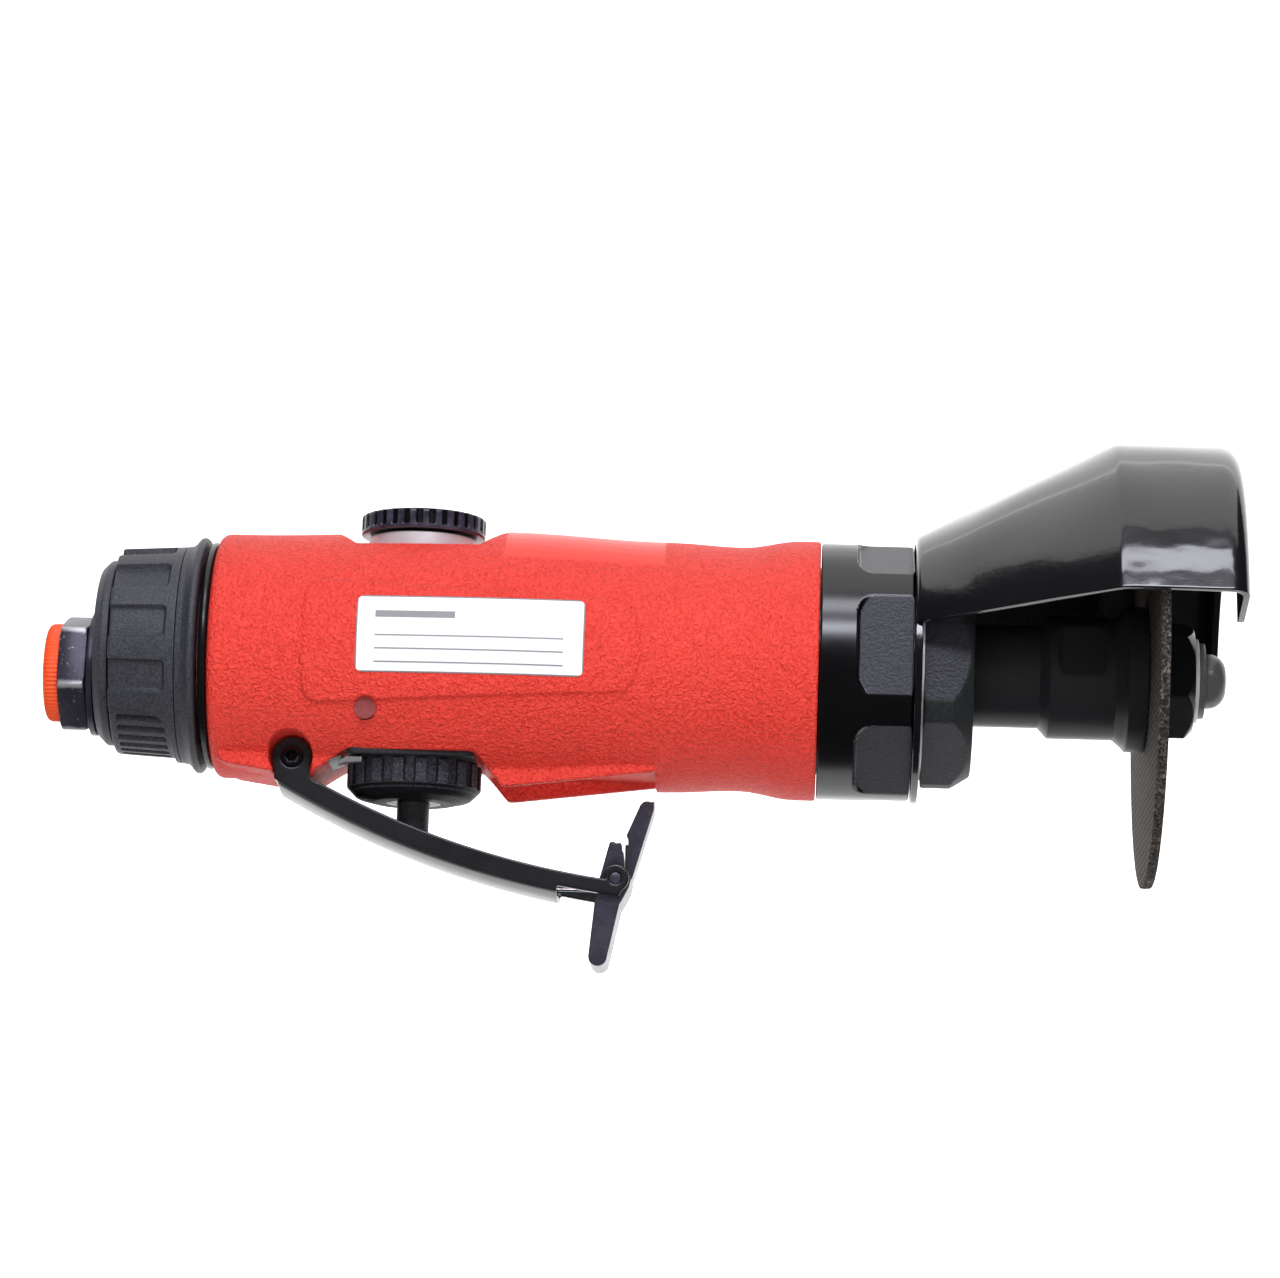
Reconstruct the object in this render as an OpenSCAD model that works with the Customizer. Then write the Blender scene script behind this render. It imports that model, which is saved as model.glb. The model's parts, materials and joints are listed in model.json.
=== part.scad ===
// Straight air-driven cut-off tool: lengths in millimetres.
// The tool axis runs along +X from the air inlet to the wheel and +Z is up.
// Stations are worked out along the tool axis from the inlet's rear face, and the
// whole tool is then placed with its origin on the seat of the inlet thread.

/* [Fits] */
// Radial room of a running or push fit
fit = 0.05; // [0.02:0.01:0.1]
// Space between pieces that turn or slide past each other
gap = 0.4; // [0.3:0.05:0.6]
// Face gap of pieces clamped with room to turn
slack = 0.1; // [0.05:0.05:0.2]
// How far a cut runs past the face that it opens
over = 2; // [1:0.5:4]

/* [Air inlet] */
// Depth of the inlet axis below the tool axis
inlet_drop = 3.9; // [3:0.1:4.5]
// Width of the inlet hexagon across its flats
hex_af = 19.05; // [17:0.05:20]
// Length of the hexagon
hex_len = 5; // [4:0.1:8]
// Rest angle of the hexagon
hex_turn = 20; // [0:1:59]
// Length of the neck behind the hexagon
neck_len = 0.4; // [0.3:0.1:1]
// Radius of the inlet flange
flange_r = 11.4; // [11:0.1:12.5]
// Thickness of the inlet flange
flange_t = 1.1; // [0.8:0.1:2]
// Radius of the shank screwed into the housing
shank_r = 6.9; // [6.7:0.1:7.4]
// Length of the shank
shank_len = 22; // [20:0.5:26]
// Radius of the threaded bore
thread_r = 5.7; // [5.3:0.05:5.8]
// Length of the threaded bore
thread_len = 14; // [12:0.5:15]
// Radius of the smooth mouth in front of the thread
mouth_r = 6.9; // [6.4:0.1:7.5]
// Depth of the smooth mouth
mouth_len = 4; // [3:0.1:5]
// Radius of the strainer pocket
screen_r = 5; // [4.6:0.1:5.2]
// Thickness of the strainer
screen_t = 1.5; // [1:0.1:2]
// Radius of the strainer's holes
screen_hole_r = 0.7; // [0.5:0.1:0.8]
// Radius of the air passage
passage_r = 4.2; // [3.5:0.1:4.4]
// Radius of the dust plug's head
plug_r = 9; // [8:0.1:9.4]
// Thickness of the dust plug's head
plug_t = 2.95; // [2:0.05:4]
// Edge rounding of the dust plug's head
plug_round = 1.6; // [0.8:0.1:1.9]
// Wall of the dust plug's hollow stem
plug_wall = 2.3; // [2:0.1:3]

/* [Rear end] */
// Radius of the rear cap
cap_r = 17; // [16:0.1:18]
// Length of the rear cap
cap_len = 3.3; // [2.8:0.1:5]
// Edge rounding of the rear cap
cap_round = 1.4; // [0.6:0.1:2]
// Radius of the tail that carries the deflector and the muffler
tail_r = 13; // [12.8:0.1:13.6]
// Length of the exhaust deflector
deflector_len = 15.8; // [14:0.1:18]
// Radius of the deflector at its rear edge
deflector_r = 19.2; // [18.9:0.1:20]
// Radius that the deflector gains along its length
deflector_draft = 0.7; // [0.2:0.1:1]
// Radius of the deflector's flared lip
lip_r = 21.6; // [21:0.1:22.4]
// Length of the smooth band and lip
lip_len = 2.9; // [2:0.1:4]
// Inner radius of the deflector
deflector_bore_r = 16.4; // [16:0.1:17]
// Thickness of the deflector's rear wall
deflector_wall = 1.8; // [1.2:0.1:2.5]
// Number of grip pockets
pocket_count = 8; // [6:1:8]
// Angle between grip pockets
pocket_pitch = 30; // [24:1:30]
// Depth of a grip pocket
pocket_depth = 0.8; // [0.4:0.1:1]
// Length of a grip pocket from the rear edge
pocket_len = 10.4; // [8:0.1:11]
// Width of a grip pocket in degrees
pocket_arc = 18; // [12:1:20]
// Half width of the louvred exhaust panel in degrees
panel_arc = 56; // [48:1:58]
// Rest angle of the deflector's panel away from straight down
deflector_turn = 6; // [0:1:12]
// Depth of the louvred panel
panel_depth = 0.7; // [0.4:0.1:1]
// Number of louvre slots
louvre_count = 13; // [9:2:13]
// Angle between louvre slots
louvre_pitch = 8; // [7:0.5:8.5]
// Width of a louvre slot
louvre_w = 1.3; // [0.8:0.1:1.6]
// Outer radius of the muffler felt
muffler_r = 16; // [15.4:0.1:16]
// Thickness of the seal ring's round section
seal_d = 1.6; // [1.2:0.1:2]
// Room between the deflector's lip and the seal ring
seal_gap = 0.6; // [0.4:0.1:1]
// Radius of the housing shoulder inside the seal ring
shoulder_r = 19.15; // [18.8:0.05:19.4]

/* [Housing] */
// Radius of the housing's rear face
edge_r = 20.7; // [20:0.1:21.2]
// Length of the rounded rear edge
edge_len = 1.8; // [1:0.1:3]
// Radius behind the rounded rear edge
rear_r = 22.4; // [22:0.1:23]
// Radius at the fullest part of the grip
grip_r = 24.1; // [23.6:0.1:24.8]
// Distance of the fullest part from the housing's rear face
grip_at = 52.7; // [48:0.1:56]
// Radius at the neck of the grip
neck_r = 22.9; // [22.4:0.1:23.6]
// Distance of the neck from the housing's rear face
neck_at = 82.7; // [78:0.1:86]
// Radius at the waist behind the front collar
waist_r = 22.3; // [22:0.1:23]
// Distance of the waist from the housing's front face
waist_back = 14.2; // [12:0.1:16]
// Radius of the front collar
collar_r = 23.7; // [23:0.1:24.2]
// Length of the front collar
collar_len = 3.7; // [3:0.1:5]
// Rise of the label panels above the grip
panel_rise = 0.4; // [0.2:0.1:0.8]
// Radius that the label panels are flatter than the grip
panel_flare = 3; // [1:0.5:5]
// Distance of the label panels from the housing's rear face
label_at = 17.5; // [15:0.1:20]
// Length of the label panels
label_len = 60.5; // [56:0.1:64]
// Height of the label panels
label_h = 22.4; // [18:0.1:23]
// Corner rounding of the label panels
label_round = 3; // [1:0.1:4]
// Bulge of the label panels' front end
label_bulge = 5.5; // [4:0.1:7]
// Height of the dip under the top knob above the tool axis
dip_z = 19.5; // [19.2:0.1:20]
// Half length of the dip's floor
dip_half = 11.2; // [10.5:0.1:12]
// Length of a sloped end of the dip
dip_slope = 5.6; // [4:0.1:6]
// Half width of the keel under the grip
keel_y = 11.5; // [11.2:0.1:12.5]
// Depth of the keel at its rear end below the tool axis
keel_rear_z = 21.4; // [20.5:0.1:22]
// Depth of the keel just behind the dial window
keel_mid_z = 23.5; // [22.8:0.1:24]
// Depth of the keel just in front of the dial window
keel_deep_z = 24.3; // [23.6:0.1:25]
// Depth of the keel at its front end
keel_front_z = 20.9; // [20.4:0.1:21.4]
// Depth of the dial window's ceiling
window_z = 18.5; // [18:0.1:18.8]
// Run of the window's rear slope for each unit of its depth
rear_slope_share = 1.5; // [1.3:0.05:1.6]
// Run of the window's front slope for each unit of its depth
front_slope_share = 0.85; // [0.7:0.05:1]
// Depth of the floor between the cheeks
cheek_floor_z = 20; // [19.4:0.1:20.2]
// Half width between the cheeks
cheek_y = 9.7; // [9.5:0.1:10]
// Radius of the round recess in the side
dimple_r = 2; // [1:0.1:3]
// Depth of the round recess
dimple_depth = 1.6; // [0.5:0.1:2]
// Distance of the round recess behind the cross axis
dimple_back = 7.8; // [6:0.1:10]
// Depth of the round recess below the tool axis
dimple_z = 12; // [11:0.1:13]

/* [Top knob] */
// Distance of the cross axis of both knobs from the housing's rear face
cross_at = 36.7; // [35:0.1:38]
// Radius of the reverse knob
knob_r = 11.45; // [10.5:0.05:11.6]
// Height of the reverse knob
knob_h = 3.7; // [3.2:0.1:5]
// Number of grooves round the reverse knob
knob_teeth = 30; // [24:1:36]
// Depth of a knob groove
groove_depth = 0.7; // [0.4:0.05:0.9]
// Share of the pitch that a groove takes
groove_share = 0.42; // [0.3:0.02:0.5]
// Radius of the bright ring under the knob
ring_r = 10; // [9.4:0.1:10.4]
// Height of the bright ring
ring_h = 3; // [2:0.1:3.4]
// Radius of the ring's collar in the housing
ring_collar_r = 9.2; // [8.8:0.1:9.3]
// Depth of the ring's collar
ring_collar_h = 2.5; // [2.2:0.1:2.6]
// Radius of the reversing spool
spool_r = 7.8; // [7.2:0.1:8]
// Height of the reversing spool
spool_h = 12; // [10:0.1:12.4]
// Radius of the spool's neck
spool_neck_r = 5.4; // [4.5:0.1:5.6]
// Radius of the air ports
port_r = 2.2; // [1.8:0.1:2.3]
// Distance of the motor's air ports from the tool axis
port_z = 11.9; // [11.8:0.1:12.2]

/* [Regulator and throttle valve] */
// Radius of the regulator dial
dial_r = 12.25; // [11.6:0.05:12.4]
// Height of the dial's grooved band
dial_band_h = 3.5; // [2.5:0.1:4]
// Height of the dial's plain top disc
dial_top_h = 0.8; // [0.5:0.1:1]
// Height of the dial's dome under the band
dome_h = 3.4; // [2.5:0.1:3.8]
// Radius of the flat under the dome
dome_flat_r = 7.4; // [6.8:0.1:8]
// Number of grooves round the dial
dial_teeth = 36; // [30:1:40]
// Radius of the bushing's neck that the dial turns on
bush_neck_r = 5; // [4.6:0.1:5.4]
// Radius of the valve bushing in the housing
bush_r = 6.5; // [6.2:0.1:6.8]
// Height of the valve bushing in the housing
bush_h = 9; // [8:0.1:10]
// Radius of the valve stem
stem_r = 2.95; // [2.5:0.05:3.1]
// Radius of the rubber valve seal
valve_r = 5; // [4.6:0.1:5.3]
// Thickness of the rubber valve seal
valve_t = 2; // [1.5:0.1:2.5]
// Radius of the valve chamber
chamber_r = 6.2; // [5.8:0.1:6.4]
// Height of the valve chamber
chamber_h = 12.4; // [11:0.1:12.6]
// Mean radius of the valve spring's coils
valve_coil_r = 4; // [3.6:0.1:4.4]
// Radius of the valve spring's wire
valve_wire_r = 0.4; // [0.3:0.05:0.5]
// Number of the valve spring's coils
valve_coils = 5; // [4:1:6]
// Width of the bright detent tab
tab_w = 5; // [3:0.1:6]
// Run of the detent tab along the window's slope
tab_len = 2.8; // [2:0.1:3.2]
// Thickness of the detent tab
tab_t = 0.6; // [0.4:0.1:0.8]
// Offset of the detent tab from the tool's middle
tab_side = 3.5; // [2:0.1:5]

/* [Throttle lever] */
// Distance of the lever pivot from the housing's rear face
pivot_at = 15; // [14.4:0.1:15.4]
// Depth of the lever pivot below the tool axis
pivot_z = 19.5; // [19.2:0.1:19.8]
// Radius of the lever's ears
ear_r = 3.6; // [3.4:0.1:3.8]
// Half width of an ear's neck
ear_neck = 3; // [2.6:0.1:3.1]
// Radius of the lever pin
pin_r = 1.95; // [1.7:0.05:2.05]
// Radius of the hexagonal sockets in the lever pin's ends
pin_socket_r = 1.1; // [0.8:0.05:1.2]
// Depth of the sockets in the lever pin
pin_socket = 2.2; // [1.5:0.1:3]
// Half width of the lever
lever_y = 9; // [8.8:0.1:9.1]
// Sheet thickness of the lever
lever_t = 1.5; // [1.2:0.1:1.7]
// Bow radius of the lever's upper edge
bow_r = 158; // [154:1:162]
// Depth of the channel's rim below the pivot where it starts
rim_drop = 4.9; // [4.5:0.1:5.3]
// Depth of the channel's rim below the lock pivot
rim_below_lock = 0.4; // [0.2:0.1:0.8]
// Rise of the channel's rim from its start to the ears
rim_lift = 1; // [0.5:0.1:1.2]
// Height of the lever's channel
channel_h = 4.8; // [4.4:0.1:5.4]
// Distance in front of the pivot where the channel's rim starts
rim_at = 5.8; // [5.6:0.1:6.4]
// Distance of the lever's rear end behind the pivot
lever_tail = 3.1; // [2.8:0.1:3.6]
// Distance of the lock pivot in front of the lever pivot
lock_at = 59.3; // [58.5:0.1:60]
// Depth of the lock pivot below the lever pivot
lock_drop = 20.6; // [20.2:0.1:21]
// Radius of the lever's eyes round the lock pin
eye_r = 2.5; // [2.2:0.1:2.8]
// Length of the slot in the lever's floor
slot_len = 10.5; // [9.5:0.1:12]
// How far the lever closes, in degrees
lever_swing = 9; // [7:0.5:9]

/* [Safety lock] */
// Radius of the lock pin
lock_pin_r = 1.05; // [0.9:0.05:1.1]
// Half width of the lock
lock_y = 7; // [6.6:0.1:7.1]
// Half width of the lock's upper arm
arm_y = 4.2; // [3.6:0.1:4.3]
// Reach of the upper arm from the lock pivot
arm_reach = 16.2; // [14:0.1:16.4]
// Lean of the upper arm from upright, in degrees
arm_lean = 24; // [20:1:26]
// Thickness of the upper arm at its tip
arm_tip_t = 2.4; // [1.8:0.1:2.8]
// Reach of the lower arm from the lock pivot
paddle_reach = 16.4; // [14:0.1:18]
// Lean of the lower arm from upright, in degrees
paddle_lean = 16; // [10:1:18]
// Thickness of the lower arm at its root
paddle_root_t = 4.4; // [3.6:0.1:4.6]
// Thickness of the lower arm at its tip
paddle_tip_t = 3.4; // [2.8:0.1:3.8]
// Height of the lugs above the lock pivot
lug_h = 6.6; // [5:0.1:7]
// Radius of the lugs round the lock pin
lug_r = 2.6; // [2.2:0.1:2.8]
// Thickness of a lug
lug_t = 2.2; // [1.6:0.1:2.4]
// Mean radius of the lock spring's coils
lock_coil_r = 1.55; // [1.45:0.05:1.6]
// Radius of the lock spring's wire
lock_wire_r = 0.3; // [0.25:0.05:0.3]
// Number of the lock spring's coils
lock_coils = 3.25; // [2.25:1:4.25]
// Advance of the lock spring in one turn
lock_pitch = 1.15; // [1.1:0.05:1.3]
// Length of the spring's leg along the lever
leg_back = 12; // [11:0.1:13]
// Length of the spring's leg along the upper arm
leg_up = 7.4; // [5:0.1:8]

/* [Motor] */
// Wall between the cross bore and the motor chamber
motor_wall = 8.7; // [7:0.1:10]
// Radius of the motor chamber
motor_r = 17.5; // [17:0.1:17.6]
// Thickness of the motor gasket
gasket_t = 0.6; // [0.4:0.1:1]
// Length of the rear end plate
rear_plate_len = 6; // [5.6:0.1:7]
// Length of the motor cylinder
cylinder_len = 30; // [26:0.1:34]
// Length of the clamp nut's thread inside the housing
nut_grip = 9.9; // [9:0.1:11]
// Length of the front end plate
front_plate_len = 9.6; // [9.2:0.1:10]
// Radius of the cylinder's bore
cylinder_bore_r = 13.5; // [13:0.1:13.8]
// Offset of the cylinder's bore from the tool axis
bore_offset = 1.5; // [1.2:0.1:1.8]
// Number of vanes
vane_count = 5; // [4:1:6]
// Thickness of a vane
vane_t = 1.6; // [1.2:0.1:2]
// Height of a vane
vane_h = 6; // [5:0.1:6.5]
// Radius of the rotor's end inside the spindle
stub_r = 4.8; // [4.4:0.1:5]
// Radius of the rotor's rear journal
rear_journal_r = 3.5; // [3:0.1:3.8]
// Radius of the rotor's front journal
front_journal_r = 6; // [5.6:0.1:6.2]
// Outer radius of the rear bearing
rear_bearing_r = 9.5; // [9:0.1:10]
// Length of the rear bearing
rear_bearing_len = 5; // [4.6:0.1:5.2]
// Outer radius of the front bearing
front_bearing_r = 14; // [13.5:0.1:14.5]
// Length of the front bearing
front_bearing_len = 8; // [7.6:0.1:8.2]
// Number of balls in a bearing
ball_count = 8; // [7:1:9]
// Radius of the cylinder dowel
dowel_r = 1; // [0.8:0.1:1.1]
// Distance of the cylinder dowel from the tool axis
dowel_at = 15.2; // [15:0.1:15.4]
// Angle of the cylinder dowel from straight down
dowel_turn = 40; // [30:1:60]
// Thickness of the clamp washer
clamp_washer_t = 0.6; // [0.4:0.1:1]

/* [Front end] */
// Radius of the clamp nut's thread in the housing
nut_thread_r = 19; // [18.6:0.1:19.4]
// Radius of the clamp nut
nut_r = 23.4; // [22.8:0.1:24]
// Length of the clamp nut outside the housing
nut_len = 16.9; // [15:0.1:19]
// Width across the clamp nut's flats
nut_af = 43; // [42:0.1:44]
// Length of the clamp nut's flats
nut_flat_len = 10.3; // [8:0.1:12]
// Rest angle of the clamp nut's flats
nut_turn = 4; // [0:1:59]
// Radius of the clamp nut's nose
nose_r = 16.5; // [16:0.1:17]
// Inner radius of the clamp nut behind the spindle
nut_bore_r = 13; // [12:0.1:13.4]
// Thickness of the guard washer
guard_washer_t = 0.5; // [0.3:0.1:0.8]
// Radius of the guard washer
guard_washer_r = 19.4; // [18.6:0.1:20]
// Radius of the guard nut
guard_nut_r = 20.9; // [20.2:0.1:21.6]
// Length of the guard nut
guard_nut_len = 9; // [8:0.1:10.5]
// Width across the guard nut's flats
guard_nut_af = 38; // [37:0.1:39]
// Rest angle of the guard nut's flats
guard_nut_turn = 2; // [0:1:59]
// Length of the cone at the guard nut's front
guard_nut_cone = 3.6; // [2:0.1:4.5]
// Edge chamfer of turned pieces
chamfer = 0.8; // [0.4:0.1:1]

/* [Spindle and wheel] */
// Radius of the spindle's rear part
spindle_r = 9.35; // [9:0.05:9.6]
// Length of the spindle hidden inside the nuts
spindle_hidden = 19.2; // [17:0.1:20]
// Length of the rear part in the open
spindle_len = 12.2; // [10:0.1:14]
// Radius of the spindle's wrench part
wrench_r = 11.2; // [10.8:0.1:11.6]
// Length of the wrench part
wrench_len = 15.2; // [14:0.1:16]
// Length of the cones at both ends of the wrench part
cone_len = 1.7; // [1.2:0.1:2]
// Width across the wrench flats
wrench_af = 20; // [18:0.1:21]
// Length of the wrench flats
wrench_flat_len = 8.6; // [6:0.1:9]
// Rest angle of the wrench flats
wrench_turn = 70; // [0:1:89]
// Radius of the inner flange
inner_flange_r = 13.3; // [12.8:0.1:14]
// Thickness of the inner flange
inner_flange_t = 4.3; // [3:0.1:5]
// Radius of the pilot in the wheel's hole
pilot_r = 4.76; // [4.5:0.01:5]
// Radius of the cut-off wheel
wheel_r = 38.1; // [36:0.1:40]
// Thickness of the cut-off wheel
wheel_t = 1.9; // [1.4:0.1:2.4]
// Width of the outer flange across its flats
outer_af = 19; // [18:0.1:20]
// Rest angle of the outer flange's flats
outer_turn = 7; // [0:1:59]
// Length of the outer flange
outer_len = 6.7; // [5.5:0.1:7]
// Radius of the washers under the screw
washer_r = 7.7; // [7:0.1:8]
// Thickness of the flat washer
flat_washer_t = 0.8; // [0.6:0.1:1]
// Thickness of the split lock washer
lock_washer_t = 1.2; // [1:0.1:1.4]
// Radius of the arbor screw
screw_r = 3; // [2.6:0.1:3.2]
// Length of the arbor screw's shank inside the spindle
screw_len = 14; // [11:0.1:15]
// Radius of the arbor screw's head
screw_head_r = 5; // [4.6:0.1:5.4]
// Height of the arbor screw's head
screw_head_h = 4; // [3.4:0.1:4.4]
// Radius of the screw's hexagonal socket
socket_r = 2.1; // [1.8:0.1:2.3]
// Depth of the screw's hexagonal socket
socket_depth = 1.6; // [1.2:0.1:1.8]

/* [Guard] */
// Sheet thickness of the guard
guard_t = 1.3; // [1:0.1:1.6]
// Radius of the guard's ring plate
guard_ring_r = 24; // [23.4:0.1:24.6]
// Radius where the cone leaves the ring plate
guard_root_r = 24.9; // [24.6:0.1:26]
// Room between the wheel and the guard's rim
guard_room = 3.6; // [2.5:0.1:6]
// Distance of the cone's front end from the ring plate
guard_cone_len = 35.6; // [34:0.1:38]
// Length of the guard
guard_len = 58.1; // [57.4:0.1:60]
// Corner rounding of the guard
guard_round = 4; // [2.5:0.1:5]
// Inner radius of the guard's end wall
guard_lip_r = 29; // [26:0.1:32]
// Sector that the guard covers in degrees
guard_arc = 160; // [140:1:176]
// Rest angle of the guard away from upright
guard_turn = 2.8; // [0:0.1:10]

/* [Hidden] */
$fn = 96;

// Stations along the tool axis
flange_x = hex_len + neck_len;
cap_x = flange_x + flange_t;
tail_x = cap_x + cap_len;
deflector_x = tail_x + gap;
deflector_end = deflector_x + deflector_len;
shoulder_x = deflector_end + gap;
seal_x = deflector_end + seal_gap + seal_d / 2;
housing_x = seal_x + seal_d / 2 + slack;
cross_x = housing_x + cross_at;
pivot_x = housing_x + pivot_at;
motor_x = cross_x + spool_r + motor_wall;
rear_plate_x = motor_x + gasket_t;
cylinder_x = rear_plate_x + rear_plate_len;
front_plate_x = cylinder_x + cylinder_len;
clamp_washer_x = front_plate_x + front_plate_len;
nut_inner_x = clamp_washer_x + clamp_washer_t;
housing_end = nut_inner_x + nut_grip;
nut_x = housing_end + slack;
nut_end = nut_x + nut_len;
guard_x = nut_end + slack;
guard_washer_x = guard_x + guard_t + slack;
guard_nut_x = guard_washer_x + guard_washer_t;
guard_nut_end = guard_nut_x + guard_nut_len;
nose_end = guard_nut_end - chamfer;
spindle_x = guard_nut_end - spindle_hidden;
wrench_x = guard_nut_end + spindle_len;
inner_flange_x = wrench_x + wrench_len;
wheel_x = inner_flange_x + inner_flange_t;
outer_x = wheel_x + wheel_t;
flat_washer_x = outer_x + outer_len;
lock_washer_x = flat_washer_x + flat_washer_t;
screw_x = lock_washer_x + lock_washer_t;
guard_r = wheel_r + guard_room + guard_t;

// Floor of the round recess in the side
dimple_y = sqrt(grip_r * grip_r - dimple_z * dimple_z) - dimple_depth;

// Inlet stations
thread_end = mouth_len + thread_len;
screen_x = thread_end;
shank_end = cap_x + shank_len;

// Heights on the cross axis
ring_z = dip_z;
knob_z = ring_z + ring_h + gap;
knob_top = knob_z + knob_h;
spool_top = ring_z - ring_collar_h - slack;
spool_floor = spool_top - spool_h;
neck_top = knob_z + knob_h * 0.6;
exhaust_z = spool_floor + spool_h * 0.3;
exhaust_x = shoulder_x - deflector_len / 2;
seal_groove_z = spool_top - chamfer * 1.6;
bush_top = bush_h - window_z;
valve_top = bush_top + slack + valve_t;
head_top = valve_top + chamfer;
chamber_top = bush_top + chamber_h;
dial_z = -window_z - slack * 2;
band_z = dial_z - dial_top_h;
dome_z = band_z - dial_band_h;
dial_bottom = dome_z - dome_h;
window_len = 2 * (dial_r + gap - (2 * slack + dial_top_h) * front_slope_share);

// Lever geometry about the lever pivot, X forward and Z up: the rim is an arc of radius
// bow_r through its start and the point below the lock pivot
rim_start = [rim_at, -rim_drop];
rim_end = [lock_at, -lock_drop - rim_below_lock];
rim_run = rim_end - rim_start;
rim_rise = sqrt(bow_r * bow_r - rim_run * rim_run / 4) / norm(rim_run);
bow_at = (rim_start[0] + rim_end[0]) / 2 - rim_run[1] * rim_rise;
bow_up = (rim_start[1] + rim_end[1]) / 2 + rim_run[0] * rim_rise;
floor_r = bow_r + channel_h - lever_t;
under_r = bow_r + channel_h;
function bow_height(r, x) = bow_up - sqrt(r * r - (bow_at - x) * (bow_at - x));
function bow_edge(r, x0, x1, n) = [for (i = [0 : n]) let (x = x0 + (x1 - x0) * i / n) [x, bow_height(r, x)]];
stem_tip_z = bow_height(floor_r, cross_at - pivot_at) - pivot_z + stem_r * (1 / cos(20) - 1) + slack;

// Bearing races
rear_pitch_r = (rear_bearing_r + rear_journal_r) / 2;
front_pitch_r = (front_bearing_r + front_journal_r) / 2;
race_share = 0.3;
rear_ball_r = (rear_bearing_r - rear_journal_r) * race_share;
front_ball_r = (front_bearing_r - front_journal_r) * race_share;
rotor_r = cylinder_bore_r - bore_offset - slack;

// An arc of n steps in the plane of a profile
function arc(cx, cy, r, a0, a1, n) =
    [for (i = [0 : n]) let (a = a0 + (a1 - a0) * i / n) [cx + r * cos(a), cy + r * sin(a)]];

// Smooth rise from a to b as t goes from 0 to 1
function ease(a, b, t) = a + (b - a) * (1 - cos(180 * t)) / 2;

// Stretch of a profile that eases from [r0, x0] to [r1, x1], without its last point
function swell(r0, x0, r1, x1, n) = [for (i = [0 : n - 1]) [ease(r0, r1, i / n), x0 + (x1 - x0) * i / n]];

// The finished tool with its origin on the inlet thread's seat
module placed() {
    translate([-mouth_len, 0, inlet_drop])
        children();
}

// A profile of [radius, station] points revolved about the tool axis
module turned(points) {
    rotate([0, 90, 0])
        rotate_extrude()
            polygon(points);
}

module rod_x(x0, x1, r) {
    translate([x0, 0, 0])
        rotate([0, 90, 0])
            cylinder(h = x1 - x0, r = r);
}

module tube_x(x0, x1, r, bore) {
    difference() {
        rod_x(x0, x1, r);
        rod_x(x0 - over, x1 + over, bore);
    }
}

module rod_y(x, z, r, half) {
    translate([x, 0, z])
        rotate([90, 0, 0])
            cylinder(h = 2 * half, r = r, center = true);
}

module rod_z(z0, z1, r) {
    translate([cross_x, 0, z0])
        cylinder(h = z1 - z0, r = r);
}

// A side outline of [x, z] points made solid from -half to +half across the tool
module slab_y(half, points) {
    rotate([90, 0, 0])
        linear_extrude(height = 2 * half, center = true)
            polygon(points);
}

// A hexagonal rod along the tool axis
module hex_x(x0, x1, af) {
    translate([x0, 0, 0])
        rotate([0, 90, 0])
            cylinder(h = x1 - x0, r = af / sqrt(3), $fn = 6);
}

// Six cutters that leave flats of width af on a turned piece
module flat_cutters(x0, x1, af, turn) {
    for (i = [0 : 5])
        rotate([turn + 60 * i, 0, 0])
            translate([x0, -af, af / 2])
                cube([x1 - x0, 2 * af, af]);
}

// Grooves along Z round a knob on the cross axis
module groove_cutters(count, r, z0, z1) {
    width = 2 * PI * r / count * groove_share;
    for (i = [0 : count - 1])
        translate([cross_x, 0, z0])
            rotate([0, 0, 360 * (i + 0.5) / count])
                translate([r - groove_depth, -width / 2, 0])
                    cube([over, width, z1 - z0]);
}

function unit(v) = v / norm(v);

// A wire of round section along a path whose bends lie about the axis side
module wire(path, r, side) {
    sides = 6;
    last = len(path) - 1;
    rings = [
        for (i = [0 : last])
            let (t = unit(path[min(i + 1, last)] - path[max(i - 1, 0)]))
            let (n = unit(cross(t, side)))
            let (b = cross(t, n))
            for (k = [0 : sides - 1])
                path[i] + r * cos(360 * k / sides) * n + r * sin(360 * k / sides) * b
    ];
    walls = [
        for (i = [0 : last - 1], k = [0 : sides - 1])
            let (a = i * sides + k)
            let (c = i * sides + (k + 1) % sides)
            each [[a, c, c + sides], [a, c + sides, a + sides]]
    ];
    caps = [
        for (k = [1 : sides - 2])
            each [[0, k + 1, k], [last * sides, last * sides + k, last * sides + k + 1]]
    ];
    polyhedron(points = rings, faces = concat(walls, caps), convexity = 6);
}

// Least gap between stretches of a coiled wire that are half a turn or more apart
function self_gap(path, r, apart) =
    min([for (i = [0 : len(path) - 1 - apart], j = [i + apart : len(path) - 1]) norm(path[i] - path[j])]) - 2 * r;

ring_steps = 8;

// Air inlet

module inlet_axis() {
    translate([0, 0, -inlet_drop])
        children();
}

module dust_plug() {
    stem_r = mouth_r - fit;
    stem_len = mouth_len - gap;
    color("orangered") placed() inlet_axis()
        turned(concat(
            [[0, -plug_t]],
            arc(plug_r - plug_round, plug_round - plug_t, plug_round, -90, 0, 6),
            [[plug_r, -slack], [stem_r, -slack], [stem_r, stem_len], [stem_r - plug_wall, stem_len],
             [stem_r - plug_wall, -slack], [0, -slack]]
        ));
}

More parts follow.
